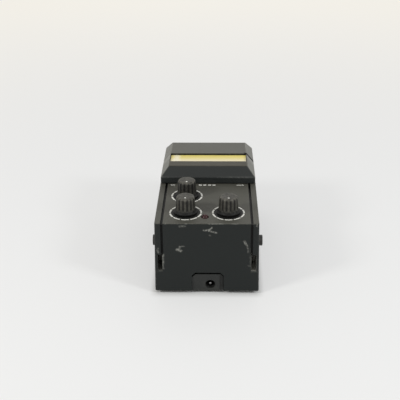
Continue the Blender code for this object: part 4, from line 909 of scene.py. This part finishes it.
# %% [markdown]
# ## Side jacks, power socket block and base plate
#
# Moulded jacks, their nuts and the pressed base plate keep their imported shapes, with edges softened
# by an amount that suits each. A table of pieces and widths says it once for all of them.

# %% Softened small pieces
for node, name, finish, slot, width in (
    # The power socket's block takes the near-black painted shade.
    ("dc_jack_body", "power_socket_block", socket_painted_shade, "black_plastic", 0.15),
    ("input_jack_body", "input_jack_block", black_plastic, "black_plastic", 0.2),
    ("output_jack_body", "output_jack_block", black_plastic, "black_plastic", 0.2),
    ("input_jack_nut", "input_nut", black_plastic, "black_plastic", 0.25),
    ("output_jack_nut", "output_nut", black_plastic, "black_plastic", 0.25),
    ("bottom_plate", "base_plate", dull, "dull_steel", 0.12),
):
    made = piece(name, softened(node, width), finish, "shell")
    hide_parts(node)

# %% [markdown]
# ## Power socket plate
#
# The socket sits behind a plastic plate that closes a cut-out in the end wall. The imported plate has
# room round it, so this copy is made a little wider, and its foot a little lower, to close the gaps.

# %% Power socket plate
WIDER, PLATE_DROP = 0.026, 0.9 * MM
plate_low, plate_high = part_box("dc_plate")
bm = softened("dc_plate", 0.15)
centre_x = (plate_low.x + plate_high.x) / 2
for vert in bm.verts:
    vert.co.x += WIDER * (vert.co.x - centre_x)
    if vert.co.z < plate_low.z + 0.3 * MM:
        vert.co.z -= PLATE_DROP
plate = piece("power_socket_plate", bm, socket_plastic, "shell")
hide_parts("dc_plate")
print("plate reaches down to", round((plate_low.z - PLATE_DROP) / MM, 2), "mm")

# %% [markdown]
# ## Power pin
#
# The socket's centre pin is turned metal, plated and a little tarnished. It is spun again here with
# a round tip, because it is the one bright point in the dark end wall.

# %% Power pin
pin_low, pin_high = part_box("dc_pin")
pin_radius = (pin_high.x - pin_low.x) / 2
length = pin_high.y - pin_low.y
tip = rounding((0, length - pin_radius), pin_radius, 0, 90, 6)
bm = spun([(0, 0), (pin_radius, 0)] + tip[:-1] + [(0, length)], 32)
bmesh.ops.rotate(bm, cent=(0, 0, 0), matrix=Matrix.Rotation(math.pi / 2, 3, "X"), verts=bm.verts)
pin_middle = centre_of("dc_pin")
bmesh.ops.translate(bm, vec=(pin_middle.x, pin_high.y, pin_middle.z), verts=bm.verts)
pin = piece("power_pin", bm, tarnished, "shell")
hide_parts("dc_pin")
print("pin", round(length / MM, 2), "mm long")

# %% [markdown]
# ## Rubber feet
#
# Each foot is a rubber disc with a dimple in the middle and a rounded rim. The profile starts in the
# dimple, goes out under the foot, up its side and back along the top.

# %% Rubber feet
DIMPLE = [(0, 1.0), (2.5, 1.0), (2.6, 0.9), (2.6, 0.15), (2.8, 0)]
FOOT_ROUND = 0.6 * MM
for side in ("left", "right"):
    for end in ("rear", "front"):
        node = f"foot_{side}_{end}"
        low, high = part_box(node)
        radius, height = (high.x - low.x) / 2, high.z
        profile = [(out * MM, up * MM) for out, up in DIMPLE]
        profile += rounding((radius - FOOT_ROUND, FOOT_ROUND), FOOT_ROUND, -90, 0, 5)
        profile += [(radius, height), (0, height)]
        place = centre_of(node)
        bm = spun(profile, 72, (place.x, place.y, 0))
        foot = piece(f"rubber_{node}", bm, foot_rubber, "shell")
        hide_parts(node)
print("feet", round(2 * radius / MM, 1), "mm across")

# %% [markdown]
# ## Treadle springs
#
# Two short coil springs hold the treadle up. A coil is a circle of wire spun round an upright axis
# while it climbs a little at each step. When the treadle is pressed the springs must shorten, or
# its skin would cut through them. How much of its height each one would keep is worked out from
# the hinge's own angle and from how far out the spring's toe side stands, and printed. The
# spring's shape is not changed here.

# %% Treadle springs
hinge = next(joint for joint in frame["joints"] if joint["name"] == "treadle_hinge")
hinge_y, pressed = hinge["pos_m"][1], math.radians(hinge["range_deg"][1])
TURNS, ROUND_STEPS, WIRE = 3.5, 24, 0.45 * MM


def coil(low, high):
    """A spring that fills this box: a ring of wire, spun and lifted at each step."""
    bm = bmesh.new()
    ring = bmesh.ops.create_circle(bm, cap_ends=False, segments=10, radius=WIRE)["verts"]
    bmesh.ops.rotate(bm, cent=(0, 0, 0), matrix=Matrix.Rotation(math.pi / 2, 3, "X"), verts=ring)
    bmesh.ops.translate(bm, vec=((high.x - low.x) / 2 - WIRE, 0, low.z + WIRE), verts=ring)
    steps = round(TURNS * ROUND_STEPS)
    climb = (high.z - low.z - 2.1 * WIRE) / steps
    bmesh.ops.spin(
        bm, geom=bm.verts[:] + bm.edges[:], axis=(0, 0, 1), cent=(0, 0, 0),
        dvec=(0, 0, climb), angle=math.tau * TURNS, steps=steps,
    )
    bmesh.ops.remove_doubles(bm, verts=bm.verts, dist=0.001 * MM)
    bmesh.ops.holes_fill(bm, edges=[edge for edge in bm.edges if edge.is_boundary], sides=12)
    bmesh.ops.recalc_face_normals(bm, faces=bm.faces)
    middle = (low + high) / 2
    bmesh.ops.translate(bm, vec=(middle.x, middle.y, 0), verts=bm.verts)
    return bm


for side in ("left", "right"):
    node = f"treadle_spring_{side}"
    low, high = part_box(node)
    bm = coil(low, high)
    open_edges = sum(not edge.is_manifold for edge in bm.edges)
    spring = piece(f"coil_spring_{side}", bm, plated, "shell", 60)
    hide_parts(node)
    drop = (high.y - hinge_y + 0.5 * MM) * math.tan(pressed)
    keep = 1 - drop / (high.z - low.z)
    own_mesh(spring)
    print(node, "keeps", round(keep, 3), "of its height, with", open_edges, "open edges")

# %% [markdown]
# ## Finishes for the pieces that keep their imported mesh
#
# Screws, the switch, the potentiometers and the electronics are right as they are, so
# they only take a finish. A table from node names to finishes keeps this in one place, and the
# loop stops with a count, which shows at a glance whether one was missed.

# %% Finish the remaining nodes
FINISHES = {
    "hinge_pin": plated, "hood_screw": plated, "plate_screw": plated,
    "switch_nut": plated, "switch_plunger": plated, "switch_body": black_plastic,
    "pot_body": dull, "pot_nut": plated, "pot_washer": plated, "pot_shaft": plated,
    "input_tip_contact": plated, "output_tip_contact": plated, "led_spacer": black_plastic,
    "circuit_board": board, "amplifier_chip": black_plastic, "capacitor": black_plastic,
    "battery_snap": black_plastic, "battery": sleeve,
}
finished = 0
for node, obj in frame["nodes"].items():
    if obj.hide_render:
        continue
    for start, finish in FINISHES.items():
        if node.startswith(start):
            for slot in obj.material_slots:
                slot.material = finish.material
            finished += 1
            break
    else:
        print("no finish for", node)
print(finished, "packed nodes finished")

# %% [markdown]
# ## Floor, backdrop and light
#
# The pedal stands on a plain pale sweep. Black paint shows mostly what it reflects, so the pale
# surroundings matter more than the lamps: seen at a low angle, the tops mirror the backdrop and
# look grey, while the end wall, seen square on, stays black. The world is plain to the camera and
# in reflections, and dimmer as a light. The paper is a light grey that gets paler with distance,
# and it is lifted further towards white for the camera and for reflections alone, so that no light
# is added on the pedal. The lift stops under the pedal, which keeps its contact shadow. Two soft
# boxes stand low at the sides and cast the two faint shadows, and a broad one hangs above and behind.

# %% Floor
PALE = (1.0, 0.99, 0.965)
floor_paper = Finish("floor_paper")
fibre = floor_paper.noise(40 * MM, 3.0)
far = floor_paper.ramp(floor_paper.vector("LENGTH", floor_paper.place, output=1), 0.15, 1.1)
paper = floor_paper.mix(fibre * 0.3, (0.69, 0.695, 0.695), (0.71, 0.715, 0.715))
floor_paper.set(base_color=floor_paper.mix(far, paper, (0.95, 0.925, 0.86)), roughness=0.9)
rays = [
    floor_paper.add("ShaderNodeLightPath", {}, {}, f"Is {kind} Ray")
    for kind in ("Camera", "Glossy", "Transmission")
]
tint = floor_paper.mix(far, (1.0, 1.0, 1.0), (1.0, 0.965, 0.89))
glow = floor_paper.add("ShaderNodeEmission", {}, {"Color": tint, "Strength": 0.95})
seen = rays[0].at_least(rays[1]).at_least(rays[2])
x, y = (abs(floor_paper.axis(name)) for name in "XY")
under = floor_paper.ramp(x, shell_high.x + 5 * MM, shell_high.x - 1 * MM)
under = under * floor_paper.ramp(y, FRONT + 6 * MM, FRONT - 1 * MM)
sockets = {0: (0.47 + 0.18 * far) * seen * (1 - under), 2: glow}
lifted = floor_paper.add("ShaderNodeMixShader", {}, sockets)
floor_paper.tree.links.new(floor_paper.shader.outputs[0], lifted.link.node.inputs[1])
floor_paper.feed(floor_paper.tree.nodes["Material Output"].inputs["Surface"], lifted)
bm = bmesh.new()
bmesh.ops.create_grid(bm, x_segments=1, y_segments=1, size=4.0)
mesh = bpy.data.meshes.new("floor")
bm.to_mesh(mesh)
bm.free()
mesh.materials.append(floor_paper.material)
floor = bpy.data.objects.new("floor", mesh)
bpy.context.scene.collection.objects.link(floor)

# %% World and lamps
world = bpy.data.worlds.new("pale_studio")
bpy.context.scene.world = world
world.use_nodes = True
nodes, links = world.node_tree.nodes, world.node_tree.links
background = nodes["Background"]
paths = nodes.new("ShaderNodeLightPath")
seen = nodes.new("ShaderNodeMath")
seen.operation = "MAXIMUM"
links.new(paths.outputs["Is Camera Ray"], seen.inputs[0])
mirrored = nodes.new("ShaderNodeMath")
mirrored.operation = "MAXIMUM"
links.new(paths.outputs["Is Glossy Ray"], mirrored.inputs[0])
links.new(paths.outputs["Is Transmission Ray"], mirrored.inputs[1])
links.new(mirrored.outputs[0], seen.inputs[1])
level = nodes.new("ShaderNodeMapRange")
level.inputs["To Min"].default_value = 0.6
level.inputs["To Max"].default_value = 0.86
links.new(seen.outputs[0], level.inputs["Value"])
links.new(level.outputs[0], background.inputs["Strength"])
background.inputs["Color"].default_value = (*PALE, 1.0)


def softbox(name, place, size, power, colour, target=(0, 0, 0.03)):
    light = bpy.data.lights.new(name, "AREA")
    light.shape, light.size, light.energy, light.color = "SQUARE", size, power, colour
    made = bpy.data.objects.new(name, light)
    made.location = place
    aim = Vector(target) - Vector(place)
    made.rotation_euler = aim.to_track_quat("-Z", "Y").to_euler()
    bpy.context.scene.collection.objects.link(made)
    print(name, "at", place, power, "W")


softbox("soft_right", (0.69, -0.46, 0.55), 0.16, 3.4, (0.97, 0.99, 1.0))
softbox("soft_left", (-0.66, -0.44, 0.55), 0.16, 3.4, (1.0, 0.985, 0.95))
softbox("soft_back", (0.0, 1.1, 0.95), 0.9, 2.4, (1.0, 0.99, 0.97), (0, 0.75, 0))

# %% [markdown]
# ## Camera
#
# The camera looks down at the power-socket end from a little above, with a long lens, so that the
# sides run nearly parallel. Its position comes as three angles and a place, and the matrix is
# built from them directly.

# %% Camera
yaw, pitch_down, roll = (math.radians(v) for v in (-1.532, 26.264, -0.495))
flat = math.cos(pitch_down)
ahead = Vector((math.sin(yaw) * flat, math.cos(yaw) * flat, -math.sin(pitch_down)))
right = Vector((math.cos(yaw), -math.sin(yaw), 0))
up = right.cross(ahead)
rolled_right = right * math.cos(roll) + up * math.sin(roll)
rolled_up = -right * math.sin(roll) + up * math.cos(roll)
matrix = Matrix((rolled_right, rolled_up, -ahead)).transposed().to_4x4()
matrix.translation = (0.00794, -0.52014, 0.29763)
lens_data = bpy.data.cameras.new("camera")
lens_data.lens, lens_data.sensor_width, lens_data.clip_start = 70.2, 36.0, 0.01
camera = bpy.data.objects.new("camera", lens_data)
camera.matrix_world = matrix
bpy.context.scene.collection.objects.link(camera)
bpy.context.scene.camera = camera
bpy.context.scene.view_settings.view_transform = "Standard"
print("camera", [round(v, 3) for v in camera.matrix_world.translation], "m")
